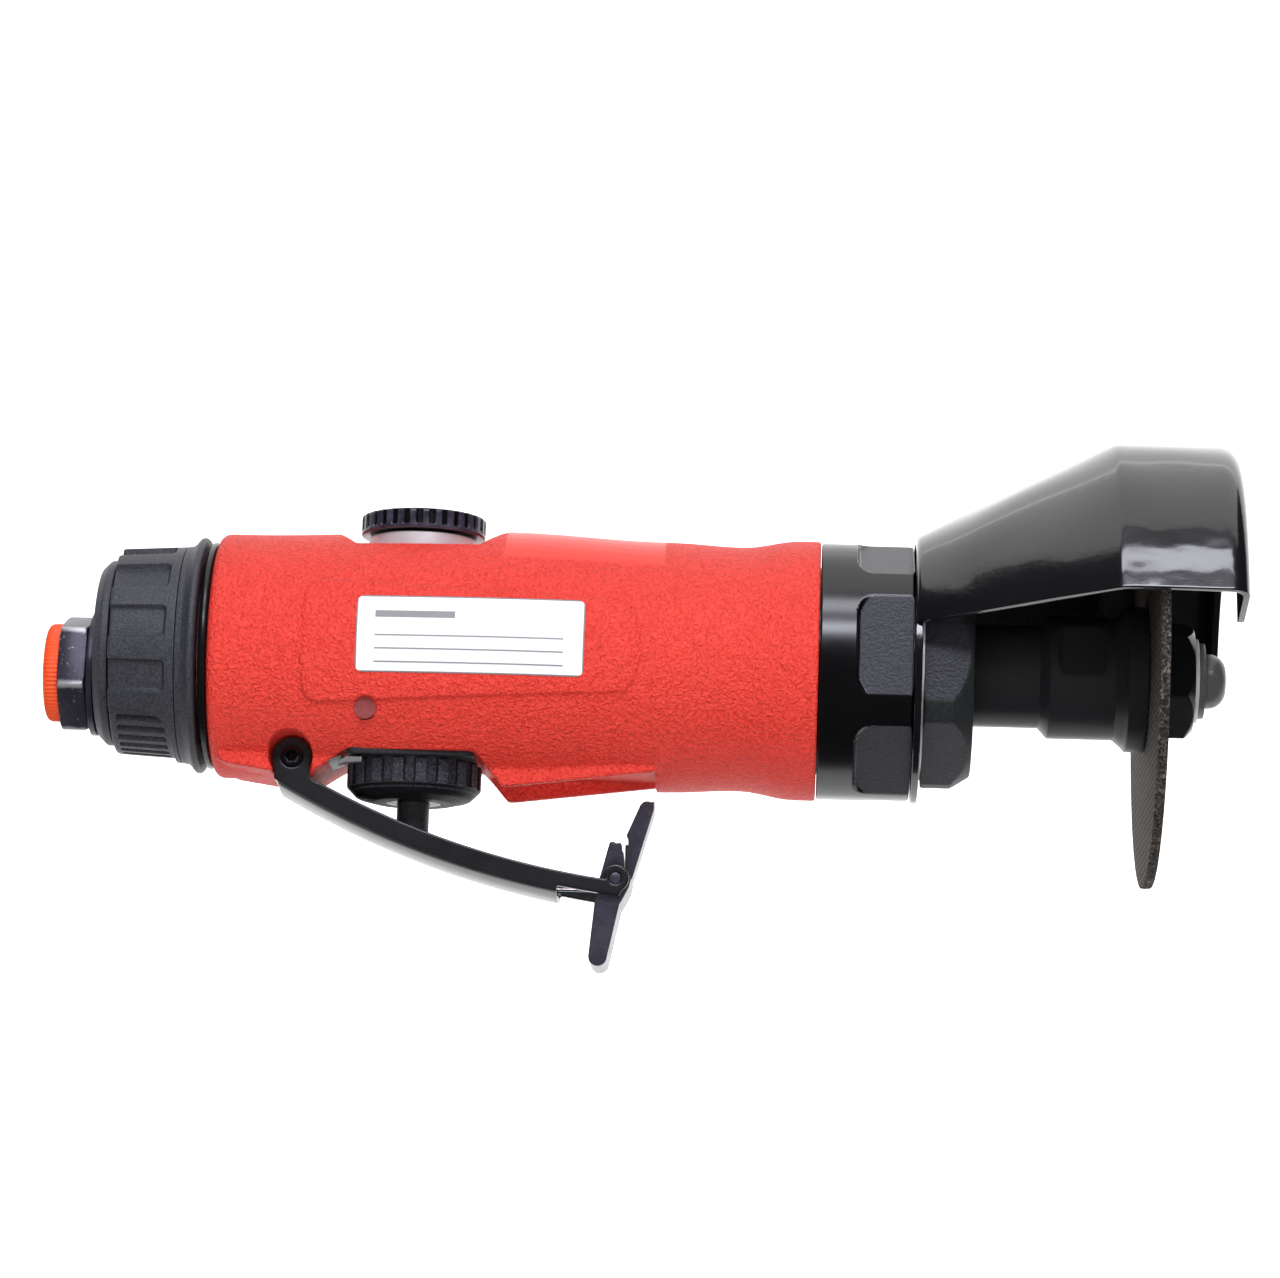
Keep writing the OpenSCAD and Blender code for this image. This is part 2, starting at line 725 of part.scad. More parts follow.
module inlet_bushing() {
    corner_r = hex_af / sqrt(3);
    color("dimgray") placed() inlet_axis()
        difference() {
            union() {
                intersection() {
                    rotate([30 + hex_turn, 0, 0])
                        hex_x(0, hex_len, hex_af);
                    turned([
                        [0, 0], [corner_r - chamfer, 0], [corner_r, chamfer / 2],
                        [corner_r, hex_len - chamfer / 2], [corner_r - chamfer, hex_len], [0, hex_len]
                    ]);
                }
                rod_x(mouth_len, cap_x, hex_af / 2 - chamfer);
                rod_x(flange_x, cap_x, flange_r);
                rod_x(flange_x, shank_end, shank_r);
            }
            rod_x(-over, mouth_len, mouth_r);
            rod_x(0, thread_end, thread_r);
            rod_x(0, screen_x + screen_t, screen_r);
            rod_x(0, shank_end + over, passage_r);
        }
}

module inlet_screen() {
    disc_r = screen_r - fit;
    color("silver") placed() inlet_axis()
        difference() {
            rod_x(screen_x, screen_x + screen_t, disc_r);
            for (i = [0 : 5])
                rotate([60 * i, 0, 0])
                    translate([0, 0, disc_r / 2])
                        rod_x(screen_x - over, screen_x + screen_t + over, screen_hole_r);
            rod_x(screen_x - over, screen_x + screen_t + over, screen_hole_r);
        }
}

// Rear end

module rear_cap() {
    color("#26282a") placed()
        difference() {
            turned(concat(
                [[0, cap_x], [flange_r + chamfer, cap_x], [cap_r - cap_round, cap_x + chamfer]],
                arc(cap_r - cap_round, cap_x + chamfer + cap_round, cap_round, -60, 0, 5),
                [[cap_r, tail_x], [0, tail_x]]
            ));
            inlet_axis()
                rod_x(cap_x - over, tail_x + over, shank_r + fit);
        }
}

// A sector from angle a0 over the angle da, measured from straight down, between two radii
module sector_x(x0, x1, r0, r1, a0, da) {
    rotate([0, 90, 0])
        rotate([0, 0, a0])
            rotate_extrude(angle = da)
                polygon([[r0, x0], [r1, x0], [r1, x1], [r0, x1]]);
}

module exhaust_deflector() {
    front_r = deflector_r + deflector_draft;
    band_x = deflector_end - lip_len;
    slot_x = deflector_x + deflector_wall * 0.7;
    color("#2b2d30") placed() rotate([deflector_turn, 0, 0])
        difference() {
            turned([
                [tail_r + fit, deflector_x], [deflector_r - chamfer / 2, deflector_x],
                [deflector_r, deflector_x + chamfer / 2], [front_r, band_x], [front_r + chamfer / 2, band_x],
                [front_r + chamfer, band_x + lip_len / 2], [lip_r, deflector_end - chamfer],
                [lip_r, deflector_end - chamfer / 2], [lip_r - chamfer / 2, deflector_end],
                [deflector_bore_r, deflector_end], [deflector_bore_r, deflector_x + deflector_wall],
                [tail_r + fit, deflector_x + deflector_wall]
            ]);
            for (i = [0 : pocket_count - 1])
                sector_x(deflector_x - over, deflector_x + pocket_len, deflector_r - pocket_depth, lip_r + over,
                    180 + (i - (pocket_count - 1) / 2) * pocket_pitch - pocket_arc / 2, pocket_arc);
            sector_x(deflector_x - over, band_x - chamfer, deflector_r - panel_depth, lip_r + over,
                -panel_arc, 2 * panel_arc);
            for (i = [0 : louvre_count - 1])
                rotate([(i - (louvre_count - 1) / 2) * louvre_pitch, 0, 0])
                    translate([slot_x, -louvre_w / 2, -lip_r])
                        cube([band_x - 2 * chamfer - slot_x, louvre_w, lip_r - deflector_bore_r + chamfer]);
        }
}

module deflector_seal() {
    color("black") placed()
        rotate([0, 90, 0])
            rotate_extrude()
                translate([shoulder_r + fit + seal_d / 2, seal_x])
                    circle(d = seal_d);
}

module muffler_ring() {
    color("gray") placed()
        tube_x(deflector_x + deflector_wall + slack, shoulder_x, muffler_r, tail_r + fit);
}

// Housing

// The round body of the housing, or a larger one for what stands proud of it
module barrel(extra = 0) {
    nose_x = housing_end - collar_len;
    waist_x = housing_end - waist_back;
    outline = concat(
        [[edge_r, housing_x]],
        arc(rear_r - edge_len, housing_x + edge_len, edge_len, -60, 0, 4),
        swell(rear_r, housing_x + 2 * edge_len, grip_r, housing_x + grip_at, 8),
        swell(grip_r, housing_x + grip_at, neck_r, housing_x + neck_at, 6),
        swell(neck_r, housing_x + neck_at, waist_r, waist_x, 4),
        swell(waist_r, waist_x, collar_r, nose_x, 5),
        [[collar_r, nose_x], [collar_r, housing_end]]
    );
    turned(concat([[0, housing_x]], [for (p = outline) [p[0] + extra, p[1]]], [[0, housing_end]]));
}

module keel() {
    window_rear = cross_x - window_len / 2;
    window_front = cross_x + window_len / 2;
    slab_y(keel_y, [
        [housing_x + edge_len, 0], [housing_x + edge_len, -edge_r], [housing_x + 2 * edge_len, -keel_rear_z],
        [pivot_x - ear_r, -(keel_rear_z + keel_mid_z) / 2 - slack], [pivot_x + ear_r, -keel_mid_z],
        [window_front + keel_deep_z - window_z, -keel_deep_z],
        [housing_x + neck_at - edge_len, -keel_front_z], [housing_x + neck_at, 0], [window_rear, 0]
    ]);
}

// A raised panel for the label, a little flatter than the grip, with a bowed front end
module label_panel(side) {
    x0 = housing_x + label_at;
    half = label_h / 2;
    bow = (half * half + label_bulge * label_bulge) / (2 * label_bulge);
    swing = asin((half - label_round) / bow);
    intersection() {
        translate([0, side * grip_r, 0])
            slab_y(grip_r / 2, concat(
                arc(x0 + label_round, half - label_round, label_round, 180, 90, 4),
                arc(x0 + label_len - bow, 0, bow, swing, -swing, 12),
                arc(x0 + label_round, label_round - half, label_round, 270, 180, 4)
            ));
        translate([0, side * (panel_rise - panel_flare), 0])
            barrel(panel_flare);
    }
}

module dial_window() {
    rear = cross_x - window_len / 2;
    front = cross_x + window_len / 2;
    reach = max(keel_deep_z, grip_r) - window_z + over;
    slab_y(grip_r + over, [
        [rear, -window_z], [front, -window_z], [front + reach * front_slope_share, -window_z - reach],
        [rear - reach * rear_slope_share, -window_z - reach]
    ]);
}

module ear_pockets() {
    inner_y = lever_y - lever_t - slack * 2;
    for (side = [-1, 1])
        translate([pivot_x, side * (inner_y + grip_r) / 2, -pivot_z])
            slab_y((grip_r - inner_y) / 2, concat(
                arc(0, 0, ear_r + gap, -15, 215, 24),
                [[-ear_neck - gap, -pivot_z], [ear_neck + ear_r * sin(lever_swing) + 2 * gap, -pivot_z]]
            ));
}

module knob_dip() {
    slab_y(grip_r + over, [
        [cross_x - dip_half, dip_z], [cross_x + dip_half, dip_z],
        [cross_x + dip_half + dip_slope, grip_r], [cross_x + dip_half + dip_slope, grip_r + over],
        [cross_x - dip_half - dip_slope, grip_r + over], [cross_x - dip_half - dip_slope, grip_r]
    ]);
}

module cheek_channel() {
    rear = cross_x + window_len / 2;
    front = housing_x + neck_at - edge_len;
    slab_y(cheek_y, [
        [rear, -cheek_floor_z], [front, -cheek_floor_z], [front, -grip_r - over], [rear, -grip_r - over]
    ]);
}

// Air ports to both sides of the motor's rear end
module motor_ports(x0, x1) {
    for (side = [-1, 1])
        translate([0, 0, side * port_z])
            rod_x(x0, x1, port_r);
}

module housing() {
    color("#d8392d") placed()
        difference() {
            union() {
                barrel();
                label_panel(-1);
                label_panel(1);
                keel();
                rod_x(tail_x, housing_x + over, tail_r);
                rod_x(shoulder_x, housing_x + over, shoulder_r);
            }
            dial_window();
            ear_pockets();
            knob_dip();
            cheek_channel();
            translate([cross_x - dimple_back, -dimple_y, -dimple_z])
                rotate([90, 0, 0])
                    cylinder(r = dimple_r, h = grip_r);
            rod_y(pivot_x, -pivot_z, pin_r + fit, grip_r);
            inlet_axis()
                rod_x(tail_x - over, shank_end + fit, shank_r + fit);
            inlet_axis()
                rod_x(tail_x, cross_x, passage_r);
            rod_z(-window_z - over, bush_top, bush_r + fit);
            rod_z(bush_top - slack, chamber_top, chamber_r);
            rod_z(spool_floor - slack, ring_z + over, spool_r + fit);
            rod_z(spool_top, ring_z + over, ring_collar_r + fit);
            translate([0, 0, exhaust_z])
                rod_x(exhaust_x, cross_x, port_r);
            translate([exhaust_x, 0, exhaust_z])
                cylinder(h = tail_r, r = port_r);
            motor_ports(cross_x, motor_x + over);
            rod_x(motor_x, nut_x, motor_r + fit);
            rod_x(clamp_washer_x, housing_end + over, nut_thread_r + fit);
        }
}

// Top knob

module reverse_ring() {
    color("gainsboro") placed()
        difference() {
            union() {
                rod_z(ring_z, ring_z + ring_h, ring_r);
                rod_z(ring_z - ring_collar_h, ring_z, ring_collar_r);
            }
            rod_z(ring_z - ring_collar_h - over, ring_z + ring_h + over, spool_neck_r + fit);
        }
}

module reverse_spool() {
    color("goldenrod") placed()
        difference() {
            union() {
                rod_z(spool_floor, spool_top, spool_r);
                rod_z(spool_top, neck_top, spool_neck_r);
            }
            translate([cross_x, 0, seal_groove_z])
                rotate_extrude()
                    translate([spool_r - 2 * chamfer, -chamfer])
                        square([2 * chamfer + over, 2 * chamfer]);
            translate([0, 0, exhaust_z])
                rod_x(cross_x - spool_r - over, cross_x, port_r);
            translate([cross_x, 0, exhaust_z])
                cylinder(h = port_z - exhaust_z, r = port_r);
            translate([0, 0, port_z])
                rod_x(cross_x, cross_x + spool_r + over, port_r);
            rod_z(spool_top + slack, neck_top + over, screw_r / 2 + fit);
        }
}

module spool_seal() {
    ring_section_r = chamfer - fit;
    color("black") placed()
        translate([cross_x, 0, seal_groove_z])
            rotate_extrude()
                translate([spool_r - ring_section_r, 0])
                    circle(r = ring_section_r);
}

module reverse_knob() {
    color("#1b1c1f") placed()
        difference() {
            translate([cross_x, 0, 0])
                rotate_extrude()
                    polygon(concat(
                        [[0, knob_z], [knob_r - chamfer / 2, knob_z], [knob_r, knob_z + chamfer / 2]],
                        arc(knob_r - chamfer, knob_top - chamfer, chamfer, 0, 90, 4),
                        [[0, knob_top]]
                    ));
            groove_cutters(knob_teeth, knob_r, knob_z + knob_h / 5, knob_top + over);
            rod_z(knob_z - over, neck_top, spool_neck_r + fit);
            rod_z(knob_z, knob_top + over, screw_r / 2 + fit);
            rod_z(knob_top - knob_h / 5, knob_top + over, screw_r + gap);
        }
}

module knob_screw() {
    head_z = knob_top - knob_h / 5;
    color("silver") placed()
        union() {
            rod_z(head_z, knob_top, screw_r);
            rod_z(spool_top + gap, head_z, screw_r / 2);
        }
}

// Regulator and throttle valve

module regulator_dial() {
    color("#1b1c1f") placed()
        difference() {
            translate([cross_x, 0, 0])
                rotate_extrude()
                    polygon([
                        [bush_neck_r + fit, dial_z], [dial_r - chamfer, dial_z], [dial_r - chamfer, band_z],
                        [dial_r, band_z], [dial_r, dome_z], [(dial_r + dome_flat_r) / 2, dome_z - dome_h * 0.75],
                        [dome_flat_r, dial_bottom], [bush_neck_r + fit, dial_bottom]
                    ]);
            groove_cutters(dial_teeth, dial_r, dome_z + chamfer / 2, band_z + over / 4);
        }
}

module dial_detent() {
    rear = cross_x - window_len / 2;
    slope = atan(1 / rear_slope_share);
    near = cross_x - dial_r - gap - tab_t * sin(slope);
    top = [near, -window_z - (rear - near) / rear_slope_share];
    low = [near - tab_len, -window_z - (rear - near + tab_len) / rear_slope_share];
    out = tab_t * [sin(slope), -cos(slope)];
    color("silver") placed()
        translate([0, -tab_side, 0])
            slab_y(tab_w / 2, [top, top + out, low + out, low]);
}

module valve_bushing() {
    color("goldenrod") placed()
        difference() {
            union() {
                rod_z(-window_z, bush_top, bush_r);
                rod_z(dial_bottom, -window_z, bush_neck_r);
            }
            rod_z(dial_bottom - over, bush_top + over, stem_r + fit);
            rod_z(-port_z - port_r, bush_top + over, (stem_r + valve_r) / 2);
            translate([0, 0, -port_z])
                rod_x(cross_x, cross_x + bush_r + over, port_r);
        }
}

module valve_stem() {
    color("#1b1c1f") placed()
        translate([cross_x, 0, 0])
            rotate_extrude()
                polygon(concat(
                    arc(0, stem_tip_z + stem_r, stem_r, -90, 0, 8),
                    [[stem_r, valve_top], [valve_r - chamfer, valve_top], [valve_r - chamfer, head_top],
                     [0, head_top]]
                ));
}

module valve_seal() {
    color("black") placed()
        difference() {
            rod_z(bush_top + slack, valve_top, valve_r);
            rod_z(bush_top - over, valve_top + over, stem_r + fit);
        }
}

module valve_spring() {
    z0 = head_top + valve_wire_r + fit;
    z1 = chamber_top - valve_wire_r - fit;
    path = [
        for (i = [0 : valve_coils * ring_steps])
            let (a = 360 * i / ring_steps)
            [cross_x + valve_coil_r * cos(a), valve_coil_r * sin(a), z0 + (z1 - z0) * i / (valve_coils * ring_steps)]
    ];
    echo(valve_spring_self_gap = self_gap(path, valve_wire_r, ring_steps - 2));
    color("silver") placed()
        wire(path, valve_wire_r, [0, 0, 1]);
}

// Throttle lever and safety lock, drawn about the lever pivot

module at_pivot() {
    translate([pivot_x, 0, -pivot_z])
        children();
}

module at_lock() {
    translate([pivot_x + lock_at, 0, -pivot_z - lock_drop])
        children();
}

module throttle_lever() {
    rim_z = bow_height(bow_r, rim_at);
    end_x = lock_at;
    inner_y = lever_y - lever_t;
    color("#202124") placed() at_pivot()
        difference() {
            union() {
                slab_y(lever_y, concat(
                    bow_edge(bow_r, rim_at, end_x, 12),
                    [[end_x + eye_r * 0.6, -lock_drop - eye_r * 0.8]],
                    [for (p = bow_edge(under_r, end_x, -lever_tail + chamfer, 12)) p],
                    [[-lever_tail, bow_height(floor_r, -lever_tail)]],
                    [[-ear_neck, bow_height(floor_r, -ear_neck)], [ear_neck, rim_z + rim_lift]]
                ));
                rod_y(0, 0, ear_r, lever_y);
                slab_y(lever_y, [
                    [-ear_neck, 0], [ear_neck, 0], [ear_neck, rim_z - chamfer],
                    [ear_neck, bow_height(under_r, ear_neck) + chamfer],
                    [-ear_neck, bow_height(under_r, -ear_neck) + chamfer]
                ]);
                rod_y(lock_at, -lock_drop, eye_r, lever_y);
            }
            slab_y(inner_y, concat(
                bow_edge(floor_r, -lever_tail - over, lock_at + eye_r + over, 12),
                [[lock_at + eye_r + over, ear_r + over], [-lever_tail - over, ear_r + over]]
            ));
            translate([lock_at - slot_len, -inner_y, -lock_drop - channel_h - over])
                cube([slot_len + eye_r + over, 2 * inner_y, channel_h + over]);
            rod_y(0, 0, pin_r + fit, lever_y + over);
            rod_y(lock_at, -lock_drop, lock_pin_r + fit, lever_y + over);
        }
}

module lever_pin() {
    color("#101113") placed() at_pivot()
        difference() {
            rod_y(0, 0, pin_r, lever_y + slack);
            for (side = [-1, 1])
                translate([0, side * (lever_y + slack), 0])
                    rotate([90, 0, 0])
                        cylinder(h = 2 * pin_socket, r = pin_socket_r, center = true, $fn = 6);
        }
}

module lock_pin() {
    color("dimgray") placed() at_lock()
        rod_y(0, 0, lock_pin_r, lever_y + slack);
}

module safety_lock() {
    arm_tip = arm_reach * [sin(arm_lean), cos(arm_lean)];
    paddle_tip = -paddle_reach * [sin(paddle_lean), cos(paddle_lean)];
    side = lock_coil_r + lock_wire_r + fit;
    front = side + arm_tip_t * 0.4;
    shoulder_z = -lug_r - chamfer;
    root_z = shoulder_z - chamfer;
    color("#141518") placed() at_lock()
        difference() {
            union() {
                slab_y(arm_y, [
                    [side, -chamfer], [front - chamfer / 2, -chamfer], [front, chamfer], arm_tip,
                    arm_tip - [arm_tip_t, chamfer], [side, lug_h]
                ]);
                slab_y(lock_y - fit, [
                    [side, chamfer / 2], [front, chamfer / 2], [front - chamfer / 2, -side * 0.7],
                    [lock_pin_r, root_z], [-chamfer / 2, root_z], [chamfer / 2, -side * 1.3], [side, -side * 0.75]
                ]);
                slab_y(lock_y, concat(
                    [[chamfer - paddle_root_t, shoulder_z], [lock_pin_r, shoulder_z]],
                    arc(paddle_tip[0] + paddle_tip_t / 2, paddle_tip[1] + paddle_tip_t / 2,
                        paddle_tip_t / 2, 0, -180, 8)
                ));
                for (s = [-1, 1])
                    translate([0, s * (lock_y - fit - lug_t / 2), 0])
                        slab_y(lug_t / 2, concat(
                            [[chamfer * 1.5 - paddle_root_t, root_z], [0, root_z]],
                            arc(0, 0, lug_r, -40, 60, 6),
                            [[chamfer, lug_h], [-chamfer, lug_h], [-lug_r - chamfer / 2, 0]]
                        ));
            }
            rod_y(0, 0, lock_pin_r + fit, lock_y + over);
        }
}

module lock_spring() {
    turns = lock_coils * ring_steps;
    half = lock_coils * lock_pitch / 2;
    coil = [
        for (i = [0 : turns])
            let (a = 360 * i / ring_steps - 90)
            [lock_coil_r * cos(a), lock_pitch * i / ring_steps - half, lock_coil_r * sin(a)]
    ];
    back = [for (i = [0 : 2]) [-leg_back + (leg_back - lock_coil_r) * i / 2, -half, -lock_coil_r]];
    up = [for (i = [1 : 3]) [coil[turns][0], half, leg_up * i / 3]];
    echo(lock_spring_self_gap = self_gap(coil, lock_wire_r, ring_steps - 2));
    color("silver") placed() at_lock()
        wire(concat(back, coil, up), lock_wire_r, [0, 1, 0]);
}

// Motor

module motor_gasket() {
    color("saddlebrown") placed()
        difference() {
            tube_x(motor_x, rear_plate_x, motor_r, port_z - port_r - gap);
            motor_ports(motor_x - over, rear_plate_x + over);
        }
}

module rear_end_plate() {
    color("lightgray") placed()
        difference() {
            rod_x(rear_plate_x, cylinder_x, motor_r);
            rod_x(rear_plate_x - over, rear_plate_x + rear_bearing_len, rear_bearing_r + fit);
            rod_x(rear_plate_x, cylinder_x + over, rear_pitch_r);
            motor_ports(rear_plate_x - over, cylinder_x + over);
            dowel_hole();
        }
}

module dowel_hole() {
    rotate([dowel_turn, 0, 0])
        translate([0, 0, -dowel_at])
            rod_x(rear_plate_x + rear_plate_len / 2, cylinder_x + cylinder_len / 4, dowel_r + fit);
}

module cylinder_dowel() {
    color("silver") placed()
        rotate([dowel_turn, 0, 0])
            translate([0, 0, -dowel_at])
                rod_x(rear_plate_x + rear_plate_len / 2 + fit, cylinder_x + cylinder_len / 4 - fit, dowel_r);
}

module motor_cylinder() {
    color("lightgray") placed()
        difference() {
            rod_x(cylinder_x, front_plate_x, motor_r);
            translate([0, 0, bore_offset])
                rod_x(cylinder_x - over, front_plate_x + over, cylinder_bore_r);
            dowel_hole();
        }
}

module front_end_plate() {
    color("lightgray") placed()
        difference() {
            rod_x(front_plate_x, clamp_washer_x, motor_r);
            rod_x(clamp_washer_x - front_bearing_len, clamp_washer_x + over, front_bearing_r + fit);
            rod_x(front_plate_x - over, clamp_washer_x, front_pitch_r);
        }
}

module clamp_washer() {
    color("silver") placed()
        tube_x(clamp_washer_x, nut_inner_x, nut_thread_r - fit, front_bearing_r - chamfer);
}

// One race of a ball bearing, grooved for the balls
module race(x0, length, outer, inner, pitch_r, ball_r) {
    difference() {
        tube_x(x0, x0 + length, outer, inner);
        rotate([0, 90, 0])
            rotate_extrude()
                translate([pitch_r, x0 + length / 2])
                    circle(r = ball_r + fit);
    }
}

module balls(x0, length, pitch_r, ball_r) {
    for (i = [0 : ball_count - 1])
        rotate([360 * i / ball_count, 0, 0])
            translate([x0 + length / 2, 0, pitch_r])
                sphere(r = ball_r);
}

front_bearing_x = clamp_washer_x - front_bearing_len;

module rear_bearing_outer() {
    color("silver") placed()
        race(rear_plate_x, rear_bearing_len, rear_bearing_r, rear_pitch_r + rear_ball_r / 2, rear_pitch_r, rear_ball_r);
}

module rear_bearing_inner() {
    color("silver") placed()
        race(rear_plate_x, rear_bearing_len, rear_pitch_r - rear_ball_r / 2, rear_journal_r + fit,
            rear_pitch_r, rear_ball_r);
}

module rear_bearing_balls() {
    color("white") placed()
        balls(rear_plate_x, rear_bearing_len, rear_pitch_r, rear_ball_r);
}

module front_bearing_outer() {
    color("silver") placed()
        race(front_bearing_x, front_bearing_len, front_bearing_r, front_pitch_r + front_ball_r / 2,
            front_pitch_r, front_ball_r);
}

module front_bearing_inner() {
    color("silver") placed()
        race(front_bearing_x, front_bearing_len, front_pitch_r - front_ball_r / 2, front_journal_r + fit,
            front_pitch_r, front_ball_r);
}

module front_bearing_balls() {
    color("white") placed()
        balls(front_bearing_x, front_bearing_len, front_pitch_r, front_ball_r);
}

rotor_x = cylinder_x + slack;
rotor_end = front_plate_x - slack;
stub_end = spindle_x + spindle_hidden * 0.7;

module vane_slots(width, height, trim) {
    for (i = [0 : vane_count - 1])
        rotate([360 * i / vane_count, 0, 0])
            translate([rotor_x - trim, -width / 2, rotor_r - height])
                cube([rotor_end - rotor_x + 2 * trim, width, height + trim]);
}

module rotor() {
    color("gray") placed()
        union() {
            difference() {
                rod_x(rotor_x, rotor_end, rotor_r);
                vane_slots(vane_t + 2 * fit, vane_h, over);
            }
            rod_x(rear_plate_x, rotor_x, rear_journal_r);
            rod_x(rotor_end, spindle_x, front_journal_r);
            rod_x(spindle_x, stub_end, stub_r);
        }
}

module vanes() {
    color("saddlebrown") placed()
        intersection() {
            vane_slots(vane_t, vane_h - fit, 0);
            rod_x(rotor_x, rotor_end, rotor_r);
        }
}

// Front end

module clamp_nut() {
    flat_x = nut_end - nut_flat_len;
    color("#17181a") placed()
        difference() {
            turned([
                [nut_bore_r, nut_inner_x], [nut_thread_r, nut_inner_x], [nut_thread_r, nut_x],
                [nut_r - chamfer / 2, nut_x], [nut_r, nut_x + chamfer / 2], [nut_r, nut_end - chamfer],
                [nut_r - chamfer, nut_end], [nose_r, nut_end], [nose_r, nose_end],
                [spindle_r + gap, nose_end], [spindle_r + gap, spindle_x - gap], [nut_bore_r, spindle_x - gap]
            ]);
            flat_cutters(flat_x, nut_end + over, nut_af, 90 - nut_turn);
        }
}

module guard_washer() {
    color("silver") placed()
        tube_x(guard_washer_x, guard_nut_x, guard_washer_r, nose_r + fit);
}

module guard_nut() {
    color("#17181a") placed()
        difference() {
            turned([
                [nose_r + fit, guard_nut_x], [guard_nut_r - chamfer / 2, guard_nut_x],
                [guard_nut_r, guard_nut_x + chamfer / 2], [guard_nut_r, guard_nut_end - guard_nut_cone],
                [guard_nut_af / 2 - chamfer / 2, guard_nut_end], [spindle_r + 2 * gap, guard_nut_end],
                [spindle_r + 2 * gap, nose_end], [nose_r + fit, nose_end]
            ]);
            flat_cutters(guard_nut_x - over, guard_nut_end + over, guard_nut_af, 90 - guard_nut_turn);
        }
}

module guard() {
    cone = atan2(guard_r - guard_root_r, guard_cone_len);
    cone_x = guard_x + guard_cone_len;
    end_x = guard_x + guard_len;
    inner_round = guard_round - guard_t;
    corner_x = end_x - guard_round;
    corner_r = guard_r - guard_round;
    color("#0f1012") placed()
        union() {
            tube_x(guard_x, guard_x + guard_t, guard_ring_r, nose_r + fit);
            rotate([0, 90, 0])
                rotate([0, 0, 180 - guard_arc / 2 - guard_turn])
                    rotate_extrude(angle = guard_arc)
                        polygon(concat(
                            [[nose_r + 2 * guard_t, guard_x], [guard_root_r, guard_x], [guard_r, cone_x]],
                            arc(corner_r, corner_x, guard_round, 0, 90, 6),
                            [[guard_lip_r, end_x], [guard_lip_r, end_x - guard_t]],
                            arc(corner_r, corner_x, inner_round, 90, 0, 6),
                            [[guard_r - guard_t, cone_x + guard_t * tan(cone / 2)],
                             [guard_root_r - guard_t * cos(cone) / (1 + sin(cone)), guard_x + guard_t],
                             [nose_r + 2 * guard_t, guard_x + guard_t]]
                        ));
        }
}

// Spindle and wheel

module spindle() {
    flat_x = wrench_x + (wrench_len - wrench_flat_len) / 2;
    color("#1d1e20") placed()
        difference() {
            turned([
                [0, spindle_x], [spindle_r, spindle_x], [spindle_r, wrench_x], [wrench_r, wrench_x + cone_len],
                [wrench_r, inner_flange_x - cone_len], [inner_flange_r - chamfer, inner_flange_x],
                [inner_flange_r, inner_flange_x + chamfer], [inner_flange_r, wheel_x - chamfer / 2],
                [inner_flange_r - chamfer / 2, wheel_x], [pilot_r, wheel_x], [pilot_r, outer_x - gap],
                [0, outer_x - gap]
            ]);
            for (side = [0, 180])
                rotate([side + wrench_turn, 0, 0])
                    translate([flat_x, -wrench_r, wrench_af / 2])
                        cube([wrench_flat_len, 2 * wrench_r, wrench_r]);
            rod_x(spindle_x - over, stub_end + gap, stub_r + fit);
            rod_x(wheel_x - screw_len, outer_x + over, screw_r + fit);
        }
}

module cutoff_wheel() {
    color("#4a3f38") placed()
        tube_x(wheel_x, outer_x, wheel_r, pilot_r + fit);
}

module outer_flange() {
    corner_r = outer_af / sqrt(3);
    color("#17181a") placed()
        difference() {
            intersection() {
                rotate([-outer_turn, 0, 0])
                    hex_x(outer_x, flat_washer_x, outer_af);
                turned([
                    [0, outer_x], [corner_r, outer_x], [corner_r, flat_washer_x - 2 * chamfer],
                    [corner_r - 2 * chamfer, flat_washer_x], [0, flat_washer_x]
                ]);
            }
            rod_x(outer_x - over, flat_washer_x + over, screw_r + fit);
        }
}

module flat_washer() {
    color("silver") placed()
        tube_x(flat_washer_x, lock_washer_x, washer_r, screw_r + fit);
}

module lock_washer() {
    split = lock_washer_t / 2;
    color("dimgray") placed()
        difference() {
            tube_x(lock_washer_x, screw_x, washer_r - chamfer, screw_r + fit);
            translate([lock_washer_x - over, -split / 2, 0])
                cube([lock_washer_t + 2 * over, split, washer_r]);
        }
}

module arbor_screw() {
    color("#2a2b2d") placed()
        difference() {
            union() {
                rod_x(wheel_x - screw_len + gap, screw_x + chamfer, screw_r);
                turned(concat(
                    [[0, screw_x], [screw_head_r, screw_x], [screw_head_r, screw_x + chamfer]],
                    arc(screw_head_r - screw_head_h + chamfer, screw_x + chamfer, screw_head_h - chamfer, 0, 90, 6),
                    [[0, screw_x + screw_head_h]]
                ));
            }
            translate([screw_x + screw_head_h - socket_depth, 0, 0])
                rotate([0, 90, 0])
                    cylinder(h = socket_depth + over, r = socket_r, $fn = 6);
        }
}

dust_plug();
inlet_bushing();
inlet_screen();
rear_cap();
exhaust_deflector();
deflector_seal();
muffler_ring();
housing();
reverse_knob();
knob_screw();
reverse_ring();
reverse_spool();
spool_seal();
regulator_dial();
dial_detent();
valve_bushing();
valve_stem();
valve_seal();
valve_spring();
throttle_lever();
lever_pin();
safety_lock();
lock_pin();
lock_spring();
motor_gasket();
rear_end_plate();
motor_cylinder();
front_end_plate();
cylinder_dowel();
clamp_washer();
rear_bearing_outer();
rear_bearing_inner();
rear_bearing_balls();
front_bearing_outer();
front_bearing_inner();
front_bearing_balls();
rotor();
vanes();
clamp_nut();
guard_washer();
guard_nut();
guard();
spindle();
cutoff_wheel();
outer_flange();
flat_washer();
lock_washer();
arbor_screw();
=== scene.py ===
import json
import math

import bmesh
import bpy
from mathutils import Matrix, Vector, noise
from mathutils.bvhtree import BVHTree

